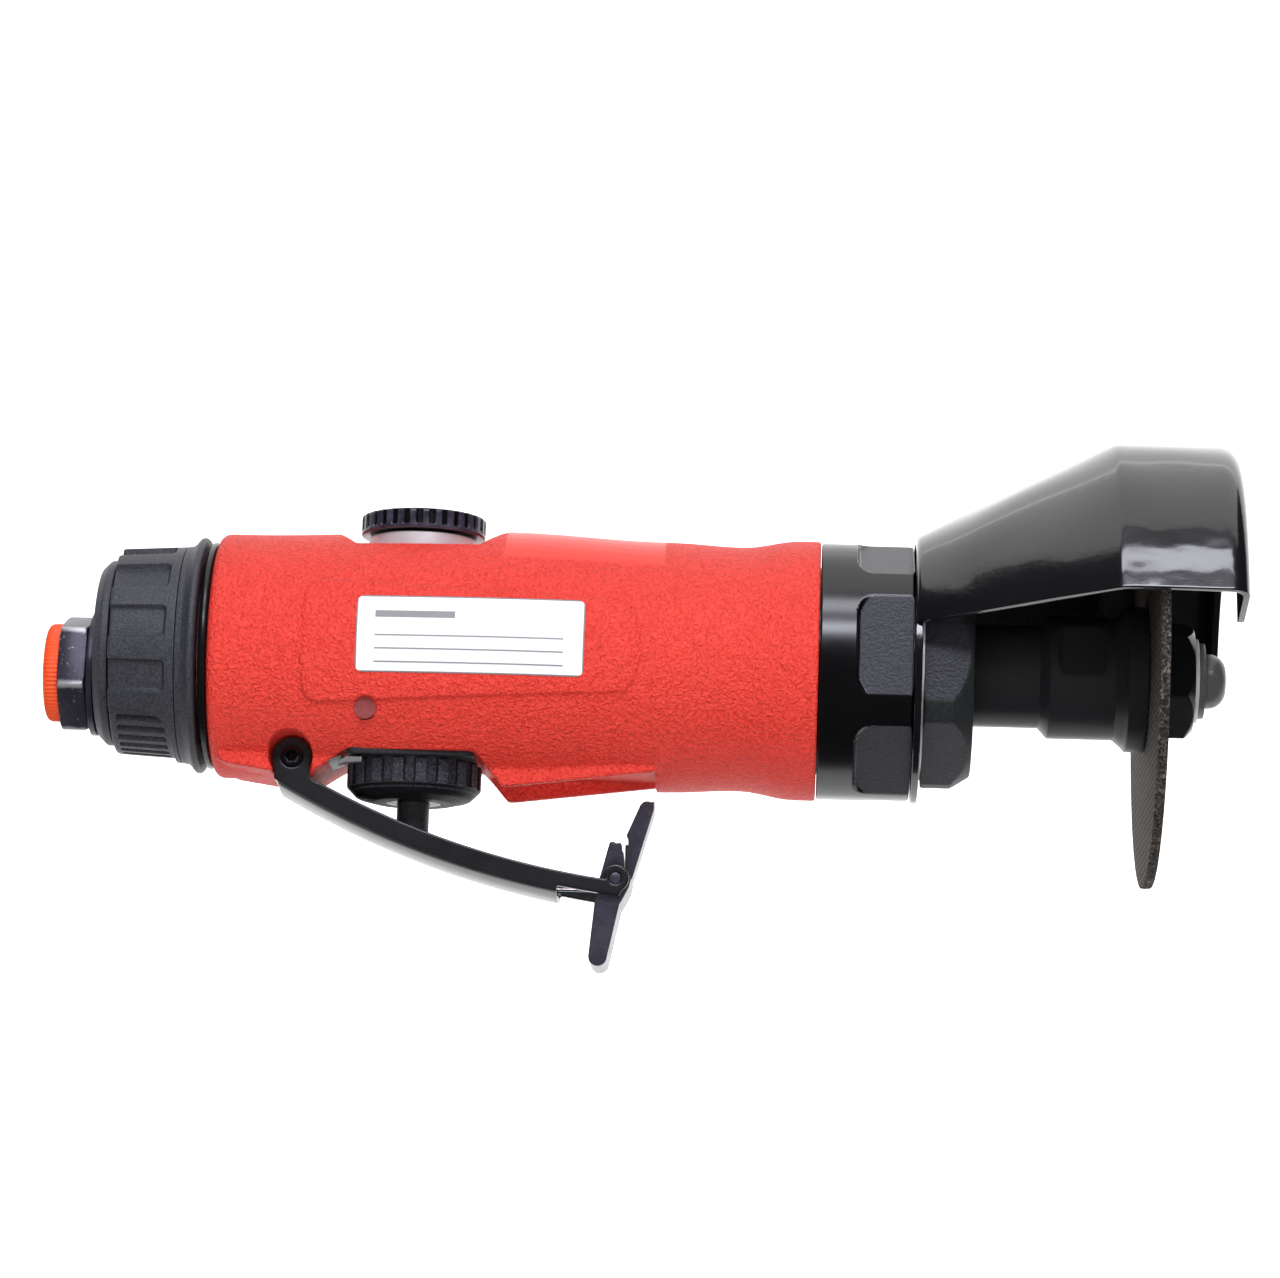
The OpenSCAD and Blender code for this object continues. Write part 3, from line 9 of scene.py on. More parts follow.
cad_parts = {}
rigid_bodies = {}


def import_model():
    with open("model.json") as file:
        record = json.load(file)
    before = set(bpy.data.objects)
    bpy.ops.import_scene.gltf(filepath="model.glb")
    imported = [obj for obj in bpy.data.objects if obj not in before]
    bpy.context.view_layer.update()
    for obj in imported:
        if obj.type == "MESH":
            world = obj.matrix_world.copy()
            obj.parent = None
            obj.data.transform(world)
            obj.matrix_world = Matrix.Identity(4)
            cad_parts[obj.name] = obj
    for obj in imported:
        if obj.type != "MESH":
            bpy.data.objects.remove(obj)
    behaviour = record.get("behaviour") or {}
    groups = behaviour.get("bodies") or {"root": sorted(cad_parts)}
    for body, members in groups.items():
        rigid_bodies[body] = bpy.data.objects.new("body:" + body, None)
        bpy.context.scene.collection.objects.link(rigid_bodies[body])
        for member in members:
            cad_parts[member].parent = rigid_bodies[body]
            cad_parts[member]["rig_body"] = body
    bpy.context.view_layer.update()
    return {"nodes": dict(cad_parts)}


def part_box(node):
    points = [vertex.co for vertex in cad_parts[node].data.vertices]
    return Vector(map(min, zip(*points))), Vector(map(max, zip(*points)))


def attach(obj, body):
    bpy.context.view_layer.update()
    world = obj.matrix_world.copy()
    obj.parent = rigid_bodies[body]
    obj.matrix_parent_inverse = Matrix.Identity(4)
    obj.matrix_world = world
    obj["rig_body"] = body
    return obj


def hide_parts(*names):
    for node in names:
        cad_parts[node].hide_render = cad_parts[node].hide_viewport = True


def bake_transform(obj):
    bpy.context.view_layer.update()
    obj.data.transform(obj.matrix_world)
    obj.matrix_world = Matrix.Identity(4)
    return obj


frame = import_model()
nodes = frame["nodes"]
scene = bpy.context.scene
print("frame loaded:", len(nodes), "solids")

rowShift = (-0.004, 0, 0.0039)  # where the tool's own origin lies in the row frame
axisUp = rowShift[2]
milli = 0.001
toRow = Matrix.Translation(rowShift) @ Matrix.Scale(milli, 4)  # tool millimetres to row metres
toTool = toRow.inverted()


# a socket with arithmetic
class Link:
    def __init__(self, finish, socket):
        self.finish = finish
        self.socket = socket

    def math(self, kind, *others):
        values = dict(enumerate((self,) + others))
        return self.finish.node("ShaderNodeMath", {"operation": kind}, values)

    def __add__(self, other):
        return self.math("ADD", other)

    __radd__ = __add__

    def __mul__(self, other):
        return self.math("MULTIPLY", other)

    __rmul__ = __mul__

    def __sub__(self, other):
        return self.math("SUBTRACT", other)

    def __rsub__(self, other):
        return self.finish.node("ShaderNodeMath", {"operation": "SUBTRACT"}, {0: other, 1: self})

    def __pow__(self, other):
        return self.math("POWER", other)

    def __abs__(self):
        return self.math("ABSOLUTE")

    def ramp(self, low, high, first=0.0, last=1.0):  # smooth step from first to last
        settings = {"interpolation_type": "SMOOTHSTEP"}
        values = {0: self, 1: low, 2: high, 3: first, 4: last}
        return self.finish.node("ShaderNodeMapRange", settings, values)


class Finish:
    def __init__(self, name, fixed):
        self.material = bpy.data.materials.new(name)
        self.material.use_nodes = True
        self.tree = self.material.node_tree
        self.shader = self.tree.nodes["Principled BSDF"]
        for socket, value in fixed.items():
            self.shader.inputs[socket].default_value = value
        self.place = self.node("ShaderNodeTexCoord", {}, {}, "Object")

    def node(self, kind, settings, values, out=0):
        made = self.tree.nodes.new(kind)
        for key, value in settings.items():
            setattr(made, key, value)
        for key, value in values.items():
            if isinstance(value, Link):
                self.tree.links.new(value.socket, made.inputs[key])
            else:
                made.inputs[key].default_value = value
        return Link(self, made.outputs[out])

    def axes(self):
        parts = self.node("ShaderNodeSeparateXYZ", {}, {0: self.place})
        return [Link(self, parts.socket.node.outputs[i]) for i in range(3)]

    def noise(self, size, detail=2.0, rough=0.5, twist=0.0, source=None):
        values = {"Vector": source or self.place, "Scale": 1 / size, "Detail": detail, "Roughness": rough,
                  "Distortion": twist}
        return self.node("ShaderNodeTexNoise", {}, values)

    def cells(self, size):
        return self.node("ShaderNodeTexVoronoi", {}, {"Vector": self.place, "Scale": 1 / size})

    def mix(self, share, first, second):
        return self.node("ShaderNodeMix", {"data_type": "RGBA"}, {0: share, 6: first, 7: second}, 2)

    def feed(self, socket, link):
        self.tree.links.new(link.socket, self.shader.inputs[socket])

    def bump(self, height, depth, strength=1.0):
        return self.node("ShaderNodeBump", {}, {"Height": height, "Distance": depth, "Strength": strength})


def tone(red, green, blue):  # screen colour of 0 to 255 as linear light
    def line(v):
        v = v / 255
        return v / 12.92 if v <= 0.04045 else ((v + 0.055) / 1.055) ** 2.4
    return (line(red), line(green), line(blue), 1)


# finishes
# red moulding: a pebbled skin with painted shade in its low spots, and a smooth pad in front of the knob;
# lengths in metres, padEdge in degrees
redLook = {"light": (248, 74, 60), "deep": (241, 63, 52), "pitShade": (214, 42, 34), "pitShadeAt": (0.62, 0.42),
           "pitShadeShare": 0.35, "broad": 0.03, "grain": 0.00056, "fineSize": 0.4, "fineShare": 0.18,
           "depth": 0.0006, "shine": 0.35, "rough": 0.46, "vary": 0.08, "padRear": (0.0766, 0.0774),
           "padFront": (0.1056, 0.1064), "padEdge": (43.0, 45.0), "padRise": 0.0005, "padPolish": -0.2}


def redGrip():
    look = redLook
    f = Finish("redGrip", {"Specular IOR Level": look["shine"]})
    x, y, z = f.axes()
    broad = f.noise(look["broad"], 2)
    pebble = f.noise(look["grain"], 0.6, 0.4, 0.7)
    fine = f.noise(look["grain"] * look["fineSize"], 1, 0.5)
    height = pebble + fine * look["fineShare"]
    rise = f.node("ShaderNodeMath", {"operation": "ARCTAN2"}, {0: z - axisUp, 1: abs(y)})
    low, high = (math.radians(a) for a in look["padEdge"])
    pad = x.ramp(*look["padRear"]) * x.ramp(*look["padFront"], 1, 0) * rise.ramp(low, high)
    base = f.mix(broad, tone(*look["light"]), tone(*look["deep"]))
    # painted shade: the pebble's low spots darker, except on the pad
    pitShade = height.ramp(*look["pitShadeAt"]) * look["pitShadeShare"] * (1 - pad)
    f.feed("Base Color", f.mix(pitShade, base, tone(*look["pitShade"])))
    f.feed("Roughness", pad * look["padPolish"] + look["rough"] + broad * look["vary"])
    f.feed("Normal", f.bump(height * (1 - pad) * look["depth"] + pad * look["padRise"], 1.0))
    return f.material


# where the turning grips get painted groove shade; lengths in metres
grooveShadeLook = {"x": 0.061, "split": 0.001, "knob": (0.0107, 0.0113), "dome": (0.0112, 0.0113),
            "floor": (0.01148, 0.0116), "floorShare": 0.75, "crest": (0.0119, 0.0121)}


def grooveShade(f, share):  # a turning grip: painted shade in the knob's grooves and on the dial's groove walls, and the dial's dome darker
    look = grooveShadeLook
    x, y, z = f.axes()
    along = x - look["x"]
    out = (along * along + y * y) ** 0.5
    knob = out.ramp(*look["knob"]) * z.ramp(0, look["split"])
    floor = out.ramp(*look["dome"]) * out.ramp(*look["floor"], 1, 0) * look["floorShare"]
    return share * (knob + (floor + out.ramp(*look["crest"])) * z.ramp(-look["split"], 0, 1, 0))


# patterns: broad and fine noise as size, detail, roughness; tones, sheen and relief are shares of the two
patterns = {
    "moulded": {"broad": (0.012, 3), "fine": (0.00036, 2, 0.6), "fineRamp": (0.3, 0.75),
                "tones": (0.3, 0.7), "sheen": (0, 0.2), "relief": (0, 1), "depth": 0.00016,
                "strength": 0.9},
    "glossy": {"broad": (0.004, 3, 0.6), "fine": (0.0006, 2), "broadRamp": (0.2, 0.7), "tones": (1, 0),
               "sheen": (0.16, 0.06), "relief": (2, 1), "depth": 0.00003, "strength": 0.7},
    "plug": {"broad": (0.005, 3), "fine": (0.0005, 2), "tones": (1, 0), "sheen": (0.1, 0), "relief": (0, 1),
             "depth": 0.00004, "strength": 0.6},
    "turned": {"broad": (0.009, 3, 0.6), "fine": (0.00022, 2, 0.6), "rings": True, "tones": (0.6, 0.4),
               "sheen": (0.08, 0.1), "relief": (0, 1), "depth": 0.000008, "strength": 0.7},
    "blasted": {"broad": (0.008, 3, 0.6), "fine": (0.0005, 3, 0.65), "fineRamp": (0.3, 0.75),
                "tones": (0.3, 0.7), "sheen": (0, 0.2), "relief": (0, 1), "depth": 0.00013,
                "strength": 0.8},
    "steel": {"broad": (0.004, 3, 0.6), "fine": (0.0003, 2), "tones": (1, 0), "sheen": (0.14, 0.06),
              "relief": (0, 1), "depth": 0.00002, "strength": 0.6},
    "guard": {"broad": (0.02, 3, 0.6), "fine": (0.0016, 2, 0.5), "tones": (1, 0), "sheen": (0.14, 0),
              "relief": (0, 1), "depth": 0.00005, "strength": 0.6},
    "lever": {"broad": (0.01, 3, 0.6), "fine": (0.0007, 2), "tones": (1, 0), "sheen": (0.12, 0),
              "relief": (1, 1), "depth": 0.00003, "strength": 0.6},
    "rubber": {"broad": (0.004, 3), "tones": (1, 0), "sheen": (0.1, 0)},
}
patterns["lining"] = {**patterns["blasted"], "fine": (0.0004, 3, 0.65)}


def plainPattern(grain=0.002):
    return {"broad": (grain, 3, 0.6), "tones": (1, 0), "sheen": (0.15, 0), "relief": (1, 0), "depth": 0.00003,
            "strength": 0.5}


def coated(name, look, first, second, rough, shine=0.5, metal=0.0, coat=0.0, coatRough=0.03, grip=False):
    fixed = {"Specular IOR Level": shine, "Metallic": metal, "Coat Weight": coat, "Coat Roughness": coatRough}
    f = Finish(name, fixed)
    across = f.node("ShaderNodeCombineXYZ", {}, {0: f.axes()[0]}) if "rings" in look else None
    broad = f.noise(*look["broad"])
    fine = f.noise(*look["fine"], source=across) if "fine" in look else broad

    def both(key, one=broad, two=fine):
        return one * look[key][0] + two * look[key][1]

    share = both("tones", broad.ramp(*look["broadRamp"]) if "broadRamp" in look else broad,
                 fine.ramp(*look["fineRamp"]) if "fineRamp" in look else fine)
    # with grip set, the grooves of a turning grip get painted shade
    f.feed("Base Color", f.mix(grooveShade(f, share) if grip else share, tone(*first), tone(*second)))
    f.feed("Roughness", both("sheen") + rough)
    if "depth" in look:
        f.feed("Normal", f.bump(both("relief"), look["depth"], look["strength"]))
    return f.material


def steel(name, rough, base=(214, 215, 218), metal=1.0, shadow=0.84):
    return coated(name, patterns["steel"], base, [v * shadow for v in base], rough, metal=metal)


inletLook = {"first": (46, 44, 55), "second": (68, 65, 79), "bare": (198, 198, 200), "metal": 0.5,
             "specks": (0.0006, 3, 0.65), "broad": (0.004, 3, 0.6), "hexEnd": (0.0008, 0.0012),
             "edge": (0.0109, 0.0113), "ragged": 0.0008, "wear": 0.8, "dotsAt": (0.63, 0.7),
             "dotShare": 0.5, "rough": 0.24, "vary": 0.16, "depth": 0.00004, "strength": 0.6}


def inletSteel():  # blackened, with bare corners and specks on its hexagon
    look = inletLook
    f = Finish("inletSteel", {"Metallic": look["metal"]})
    x, y, z = f.axes()
    across = (y * y + z * z) ** 0.5
    specks = f.noise(*look["specks"])
    broad = f.noise(*look["broad"])
    hexagon = x.ramp(*look["hexEnd"], 1, 0)
    worn = (across + broad * look["ragged"]).ramp(*look["edge"]) * hexagon * look["wear"]
    dots = specks.ramp(*look["dotsAt"]) * look["dotShare"] * hexagon
    base = f.mix(broad, tone(*look["first"]), tone(*look["second"]))
    f.feed("Base Color", f.mix(worn.math("MAXIMUM", dots), base, tone(*look["bare"])))
    f.feed("Roughness", specks * look["vary"] + look["rough"])
    f.feed("Normal", f.bump(specks + broad, look["depth"], look["strength"]))
    return f.material


wheelLook = {"pitch": 0.0013, "mesh": (112, 100, 92), "resin": (28, 22, 19), "grit": (150, 140, 130),
             "edge": (32, 28, 26), "shine": 0.25, "wobble": 0.0006, "rim": (0.0372, 0.0378),
             "netAt": (0.2, 0.95), "netShare": 0.65, "gritShare": 0.3, "darken": -0.1,
             "gritAt": (0.4, 0.75), "chipsAt": (0.57, 0.66), "sway": (0.004, 2), "grain": (0.0005, 3, 0.7),
             "chip": (0.0011, 3, 0.7), "flake": 0.0009, "rough": 0.62, "vary": 0.25, "depth": 0.0002,
             "strength": 0.9}


def abrasive():  # a glass net in resin on the faces, chipped grit on the rim
    look = wheelLook
    f = Finish("abrasive", {"Specular IOR Level": look["shine"]})
    y, z = f.axes()[1:]
    up = z - axisUp
    turns = 2 * math.pi / look["pitch"]
    wobble = f.noise(*look["sway"]) * look["wobble"]
    warp = ((y + wobble) * turns).math("SINE")
    weft = ((up + wobble) * turns).math("SINE")
    net = warp.math("MAXIMUM", weft).ramp(*look["netAt"])
    grit = f.noise(*look["grain"])
    flakes = f.cells(look["flake"])
    rim = (y * y + up * up).ramp(*(r ** 2 for r in look["rim"]))
    chips = f.noise(*look["chip"]).ramp(*look["chipsAt"])
    face = f.mix(net * look["netShare"] + grit * look["gritShare"] + look["darken"], tone(*look["resin"]),
                 tone(*look["mesh"]))
    edge = f.mix(grit.ramp(*look["gritAt"]) * 0.5 + chips * 0.5, tone(*look["edge"]), tone(*look["grit"]))
    f.feed("Base Color", f.mix(rim, face, edge))
    f.feed("Roughness", grit * look["vary"] + look["rough"])
    height = net * (1 - rim) + grit * (rim * 2 + 0.5) + flakes * rim
    f.feed("Normal", f.bump(height, look["depth"], look["strength"]))
    return f.material


# blank label paper with a painted shade line round its edge: rules as height, half thickness and end; lengths
# in metres
paperLook = {"rules": [(0.0085, 0.0006, 0.069), (0.0046, 0.0001, 0.0885), (0.0022, 0.0001, 0.0885),
                       (-0.0002, 0.0001, 0.0885)], "soft": 0.00008, "endSoft": 0.0001,
             "start": (0.0546, 0.0548), "middle": (0.0718, 0.00495), "half": (0.02022, 0.00672),
             "outline": (0.0, 0.00006), "shine": 0.4, "first": (252, 252, 253), "second": (247, 248, 249),
             "ink": (60, 61, 66), "inkShare": 0.75, "edge": (70, 52, 52), "edgeShadeShare": 0.8,
             "broad": (0.004, 3), "rough": 0.36, "vary": 0.1}


def paper():
    look = paperLook
    f = Finish("labelPaper", {"Specular IOR Level": look["shine"]})
    x, z = f.axes()[::2]
    broad = f.noise(*look["broad"])
    ruled = 0.0
    for at, thick, end in look["rules"]:
        line = abs(z - at).ramp(thick, thick + look["soft"], 1, 0)
        ruled = ruled + line * x.ramp(end, end + look["endSoft"], 1, 0)
    ruled = ruled * x.ramp(*look["start"])
    sides = [abs(axis - middle) - half for axis, middle, half in zip((x, z), look["middle"], look["half"])]
    outline = sides[0].math("MAXIMUM", sides[1]).ramp(*look["outline"])
    white = f.mix(broad, tone(*look["first"]), tone(*look["second"]))
    lined = f.mix(ruled * look["inkShare"], white, tone(*look["ink"]))
    # painted shade: a dark red line round the label's edge
    f.feed("Base Color", f.mix(outline * look["edgeShadeShare"], lined, tone(*look["edge"])))
    f.feed("Roughness", broad * look["vary"] + look["rough"])
    return f.material


finishes = {
    "red": redGrip(),
    "charcoal": coated("charcoalPlastic", patterns["moulded"], (40, 41, 45), (78, 79, 86), 0.34, 0.4),
    "gloss": coated("glossPlastic", patterns["glossy"], (12, 12, 14), (24, 24, 27), 0.21, 0.55),
    # dial and knob: painted shade in their grooves, through grip
    "dial": coated("dialPlastic", patterns["moulded"], (24, 24, 26), (88, 87, 97), 0.34, 0.1, grip=True),
    "stem": coated("stemPlastic", patterns["moulded"], (30, 30, 33), (62, 61, 66), 0.34, 0.3),
    "knob": coated("knobPlastic", patterns["glossy"], (9, 9, 10), (70, 66, 83), 0.13, 0.55, grip=True),
    "lock": coated("lockPlastic", patterns["glossy"], (44, 42, 52), (62, 59, 72), 0.15, 0.55),
    "orange": coated("orangePlastic", patterns["plug"], (255, 92, 34), (252, 78, 24), 0.38, 0.45),
    "turned": coated("turnedBlack", patterns["turned"], (3, 3, 4), (9, 9, 11), 0.14, 0.85),
    "satin": coated("satinBlack", patterns["turned"], (24, 24, 26), (38, 38, 41), 0.24, 0.28),
    "blasted": coated("blastedBlack", patterns["blasted"], (20, 20, 25), (46, 46, 56), 0.27, 0.6),
    "lining": coated("liningBlack", patterns["lining"], (20, 22, 23), (44, 48, 49), 0.42, 0.6),
    "bright": steel("brightSteel", 0.14),
    "zinc": steel("zincSteel", 0.26, (242, 239, 243), 0.2),
    "screw": steel("screwSteel", 0.22, (112, 112, 112), 0.3),
    "tab": steel("tabSteel", 0.34, (150, 148, 146), 0.6),
    "inlet": inletSteel(),
    "guard": coated("guardPaint", patterns["guard"], (8, 8, 10), (18, 18, 21), 0.12, 0.85, coat=0.6,
                    coatRough=0.05),
    "rubber": coated("rubberBlack", patterns["rubber"], (8, 8, 10), (18, 18, 20), 0.22, 0.55),
    "lever": coated("leverBlack", patterns["lever"], (16, 16, 18), (30, 30, 33), 0.24, 0.7, coat=0.3,
                    coatRough=0.16),
    "wheel": abrasive(),
    "paper": paper(),
    "felt": coated("felt", plainPattern(0.0006), (150, 148, 140), (120, 118, 112), 0.8),
    "fibre": coated("fibre", plainPattern(0.0007), (120, 82, 50), (92, 60, 36), 0.6),
    "brass": coated("brass", plainPattern(), (206, 172, 98), (180, 146, 76), 0.24, metal=1.0),
    "aluminium": coated("aluminium", plainPattern(), (186, 188, 192), (160, 162, 166), 0.3, metal=1.0),
    # recess floor disc: dark red partly its own greyer colour, partly painted shade of the recess
    "floor": coated("shadedRecessFloor", plainPattern(0.0005), (158, 70, 66), (116, 40, 38), 0.5),
}
print("finishes made:", len(finishes))


# mesh helpers
def span(name):  # lowest and highest corner of a solid in tool millimetres
    low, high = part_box(name)
    return toTool @ low, toTool @ high


def shade(mesh, angle):
    bm = bmesh.new()
    bm.from_mesh(mesh)
    limit = math.radians(angle)
    for face in bm.faces:
        face.smooth = True
    for edge in bm.edges:
        edge.smooth = not (len(edge.link_faces) == 2 and edge.calc_face_angle(0) > limit)
    bm.to_mesh(mesh)
    bm.free()


def baked(piece):  # modifiers into the mesh
    bpy.context.view_layer.update()
    seen = piece.evaluated_get(bpy.context.evaluated_depsgraph_get())
    old = piece.data
    piece.data = bpy.data.meshes.new_from_object(seen)
    piece.modifiers.clear()
    bpy.data.meshes.remove(old)
    return piece


def linked(name, data):
    piece = bpy.data.objects.new(name, data)
    scene.collection.objects.link(piece)
    return piece


def meshOf(name, bm):
    mesh = bpy.data.meshes.new(name)
    bm.to_mesh(mesh)
    bm.free()
    return mesh


def fromShape(name, bm, angle=30):
    bmesh.ops.remove_doubles(bm, verts=bm.verts, dist=1e-5)
    bmesh.ops.recalc_face_normals(bm, faces=bm.faces)
    bmesh.ops.transform(bm, matrix=toRow, verts=bm.verts)
    mesh = meshOf(name, bm)
    shade(mesh, angle)
    return linked(name, mesh)


def merged(name):  # a solid's own mesh, with its loose triangles joined
    bm = bmesh.new()
    bm.from_mesh(nodes[name].data)
    bmesh.ops.remove_doubles(bm, verts=bm.verts, dist=1e-6)
    mesh = meshOf(name + "Look", bm)
    for layer in ("custom_normal", "sharp_face", "sharp_edge"):
        if layer in mesh.attributes:
            mesh.attributes.remove(mesh.attributes[layer])
    return linked(name + "Look", mesh)


def softened(piece, voxel, rounds, share=1.0):
    remesh = piece.modifiers.new("remesh", "REMESH")
    remesh.mode = "VOXEL"
    remesh.voxel_size = voxel * milli
    relax = piece.modifiers.new("relax", "SMOOTH")
    relax.factor = 0.5
    relax.iterations = rounds
    if share < 1:
        thin = piece.modifiers.new("thin", "DECIMATE")
        thin.ratio = share
    baked(piece)
    shade(piece.data, 180)
    return piece


def crispCopy(name, bevel=0.0, segments=2, angle=30):
    piece = merged(name)
    bm = bmesh.new()
    bm.from_mesh(piece.data)
    bmesh.ops.dissolve_limit(bm, angle_limit=math.radians(0.4), verts=bm.verts, edges=bm.edges)
    bm.to_mesh(piece.data)
    bm.free()
    return rounded(piece, bevel, segments, angle)


def rounded(piece, bevel, segments=2, angle=30):
    if bevel:
        soft = piece.modifiers.new("bevel", "BEVEL")
        soft.width = bevel * milli
        soft.segments = segments
        soft.limit_method = "ANGLE"
        soft.angle_limit = math.radians(angle)
        baked(piece)
    shade(piece.data, angle)
    return piece


def fillet(points, radii, steps=5):  # a closed profile with its corners rounded
    out = []
    for i, radius in enumerate(radii):
        here = Vector(points[i])
        if not radius:
            out.append(here)
            continue
        back = Vector(points[i - 1]) - here
        ahead = Vector(points[(i + 1) % len(points)]) - here
        half = back.angle(ahead) / 2
        run = min(radius / math.tan(half), back.length * 0.49, ahead.length * 0.49)
        first = here + back.normalized() * run
        last = here + ahead.normalized() * run
        for k in range(steps + 1):
            t = k / steps
            out.append(first * (1 - t) ** 2 + here * 2 * t * (1 - t) + last * t * t)
    return out


def dense(points, step, inner=0.0):  # long stretches of a profile outside a radius divided
    out = []
    for i, here in enumerate(points):
        here = Vector(here)
        ahead = Vector(points[(i + 1) % len(points)])
        out.append(here)
        if i + 1 < len(points) and min(here[0], ahead[0]) >= inner:
            count = int((ahead - here).length / step)
            out += [here.lerp(ahead, k / (count + 1)) for k in range(1, count + 1)]
    return out


def lathe(profile, steps=168, sweep=360.0, start=0.0):
    bm = bmesh.new()
    ring = [bm.verts.new((x, -r * math.sin(math.radians(start)), r * math.cos(math.radians(start))))
            for r, x in profile]
    solid = profile[0][0] == 0 and profile[-1][0] == 0
    edges = [bm.edges.new((ring[i - 1], ring[i])) for i in range(1 if solid else 0, len(ring))]
    copies = max(n for n in range(1, int(math.sqrt(steps)) + 1) if steps % n == 0)
    wedge = math.radians(sweep / copies)
    bmesh.ops.spin(bm, geom=ring + edges, cent=(0, 0, 0), axis=(1, 0, 0), angle=wedge, steps=steps // copies,
                   use_merge=False, use_duplicate=False)
    if copies > 1:  # the rest of the turn as copies of the first wedge
        bmesh.ops.spin(bm, geom=bm.verts[:] + bm.edges[:] + bm.faces[:], cent=(0, 0, 0), axis=(1, 0, 0),
                       angle=wedge * (copies - 1), steps=copies - 1, use_merge=False, use_duplicate=True)
    bmesh.ops.remove_doubles(bm, verts=bm.verts, dist=1e-4)
    if sweep < 360:
        bmesh.ops.holes_fill(bm, edges=[e for e in bm.edges if e.is_boundary], sides=0)
    return bm


def polar(at):  # elevation in degrees and radius about the tool's axis
    return math.degrees(math.atan2(at.z, -at.y)), math.hypot(at.y, at.z)


def around(phi, r, x):  # a point for noise that closes round the axis
    a = math.radians(phi)
    return Vector((math.cos(a) * r, math.sin(a) * r, x))


def reshaped(bm, field):  # moves each point of a lathe in or out: field takes station, elevation and radius
    for v in bm.verts:
        phi, r = polar(v.co)
        if r > 1e-4:
            share = field(v.co.x, phi, r) / r
            v.co.y *= share
            v.co.z *= share
    return bm


def turned(points, look, field):  # a lathe with a dense skin outside a radius, reshaped
    profile = fillet(points, look["fillets"], look.get("segments", 5))
    skin = dense(profile, look["spacing"], look["inner"])
    return reshaped(lathe(skin, look["steps"], look.get("sweep", 360.0), look.get("start", 0.0)), field)


def moved(bm, turn, axis, at):  # a shape turned about an axis through the origin, then moved
    bmesh.ops.rotate(bm, cent=(0, 0, 0), matrix=Matrix.Rotation(math.radians(turn), 3, axis), verts=bm.verts)
    bmesh.ops.translate(bm, vec=at, verts=bm.verts)
    return bm


def upright(bm, x):  # a lathe's axis from along the tool to straight up at station x
    return moved(bm, -90, "Y", (x, 0, 0))


def step(low, high, v):
    t = min(max((v - low) / (high - low), 0), 1)
    return t * t * (3 - 2 * t)


def softMin(a, b, k):
    h = min(max(0.5 + 0.5 * (b - a) / k, 0), 1)
    return b * (1 - h) + a * h - k * h * (1 - h)


def within(u, v, halfU, halfV, corner):  # depth inside a rounded rectangle
    du = abs(u) - halfU + corner
    dv = abs(v) - halfV + corner
    return corner - math.hypot(max(du, 0), max(dv, 0)) - min(max(du, dv), 0)


def turnFrom(phi, first, pitch):  # angle to the nearest of evenly spaced elevations
    return (phi - first + pitch / 2) % pitch - pitch / 2


def acrossFlats(look, phi):  # radius of a hexagon's side at an elevation
    return look["flats"] / 2 / math.cos(math.radians(turnFrom(phi, look["turn"], 60)))


def plate(outline, low, high):  # a side outline of x, z points made solid across the tool
    bm = bmesh.new()
    face = bm.faces.new([bm.verts.new((x, low, z)) for x, z in outline])
    grown = bmesh.ops.extrude_face_region(bm, geom=[face])["geom"]
    corners = [v for v in grown if isinstance(v, bmesh.types.BMVert)]
    bmesh.ops.translate(bm, vec=(0, high - low, 0), verts=corners)
    bmesh.ops.recalc_face_normals(bm, faces=bm.faces)
    return bm


def bevelled(bm, edges, width, segments=5):
    bmesh.ops.bevel(bm, geom=edges, offset=width, segments=segments, profile=0.5, affect="EDGES", material=-1)
    return bm


def block(size, centre):
    bm = bmesh.new()
    bmesh.ops.create_cube(bm, size=1)
    bmesh.ops.scale(bm, vec=size, verts=bm.verts)
    bmesh.ops.translate(bm, vec=centre, verts=bm.verts)
    return bm


def arc(cx, cz, r, first, last, count):
    turns = [math.radians(first + (last - first) * i / count) for i in range(count + 1)]
    return [(cx + r * math.cos(a), cz + r * math.sin(a)) for a in turns]


def circle(cx, cz, r, count):
    return arc(cx, cz, r, 0, 360 - 360 / count, count - 1)


def carve(piece, cutter):
    cut = piece.modifiers.new("carve", "BOOLEAN")
    cut.operation = "DIFFERENCE"
    cut.solver = "EXACT"
    cut.object = cutter
    baked(piece)
    bpy.data.objects.remove(cutter)
    return piece


def dressed(piece, finish, stands=()):
    piece.data.materials.clear()
    piece.data.materials.append(finishes[finish])
    if stands:
        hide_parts(*stands)
    return piece


def keep(piece, body, finish, stands=()):
    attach(piece, body)
    return dressed(piece, finish, stands)


def turnedPiece(name, look, field, body, finish, node):
    return keep(fromShape(name, turned(look["profile"], look, field), 40), body, finish, [node])


def second(piece, finish, test):  # another finish where a face's middle, in tool millimetres, passes the test
    piece.data.materials.append(finishes[finish])
    for face in piece.data.polygons:
        if test(toTool @ face.center, face.normal):
            face.material_index = 1
    return piece


# housing: a softened copy with a crisp round recess
housingLook = {"voxel": 0.33, "rounds": 4, "share": 0.26, "recess": (57.2, -12.0), "recessR": 2.0,
               "depth": 8.0, "floor": -19.3, "discR": 1.97, "disc": 0.6, "discEdge": 0.2, "discGap": 0.3,
               "steps": 48, "crease": 55}


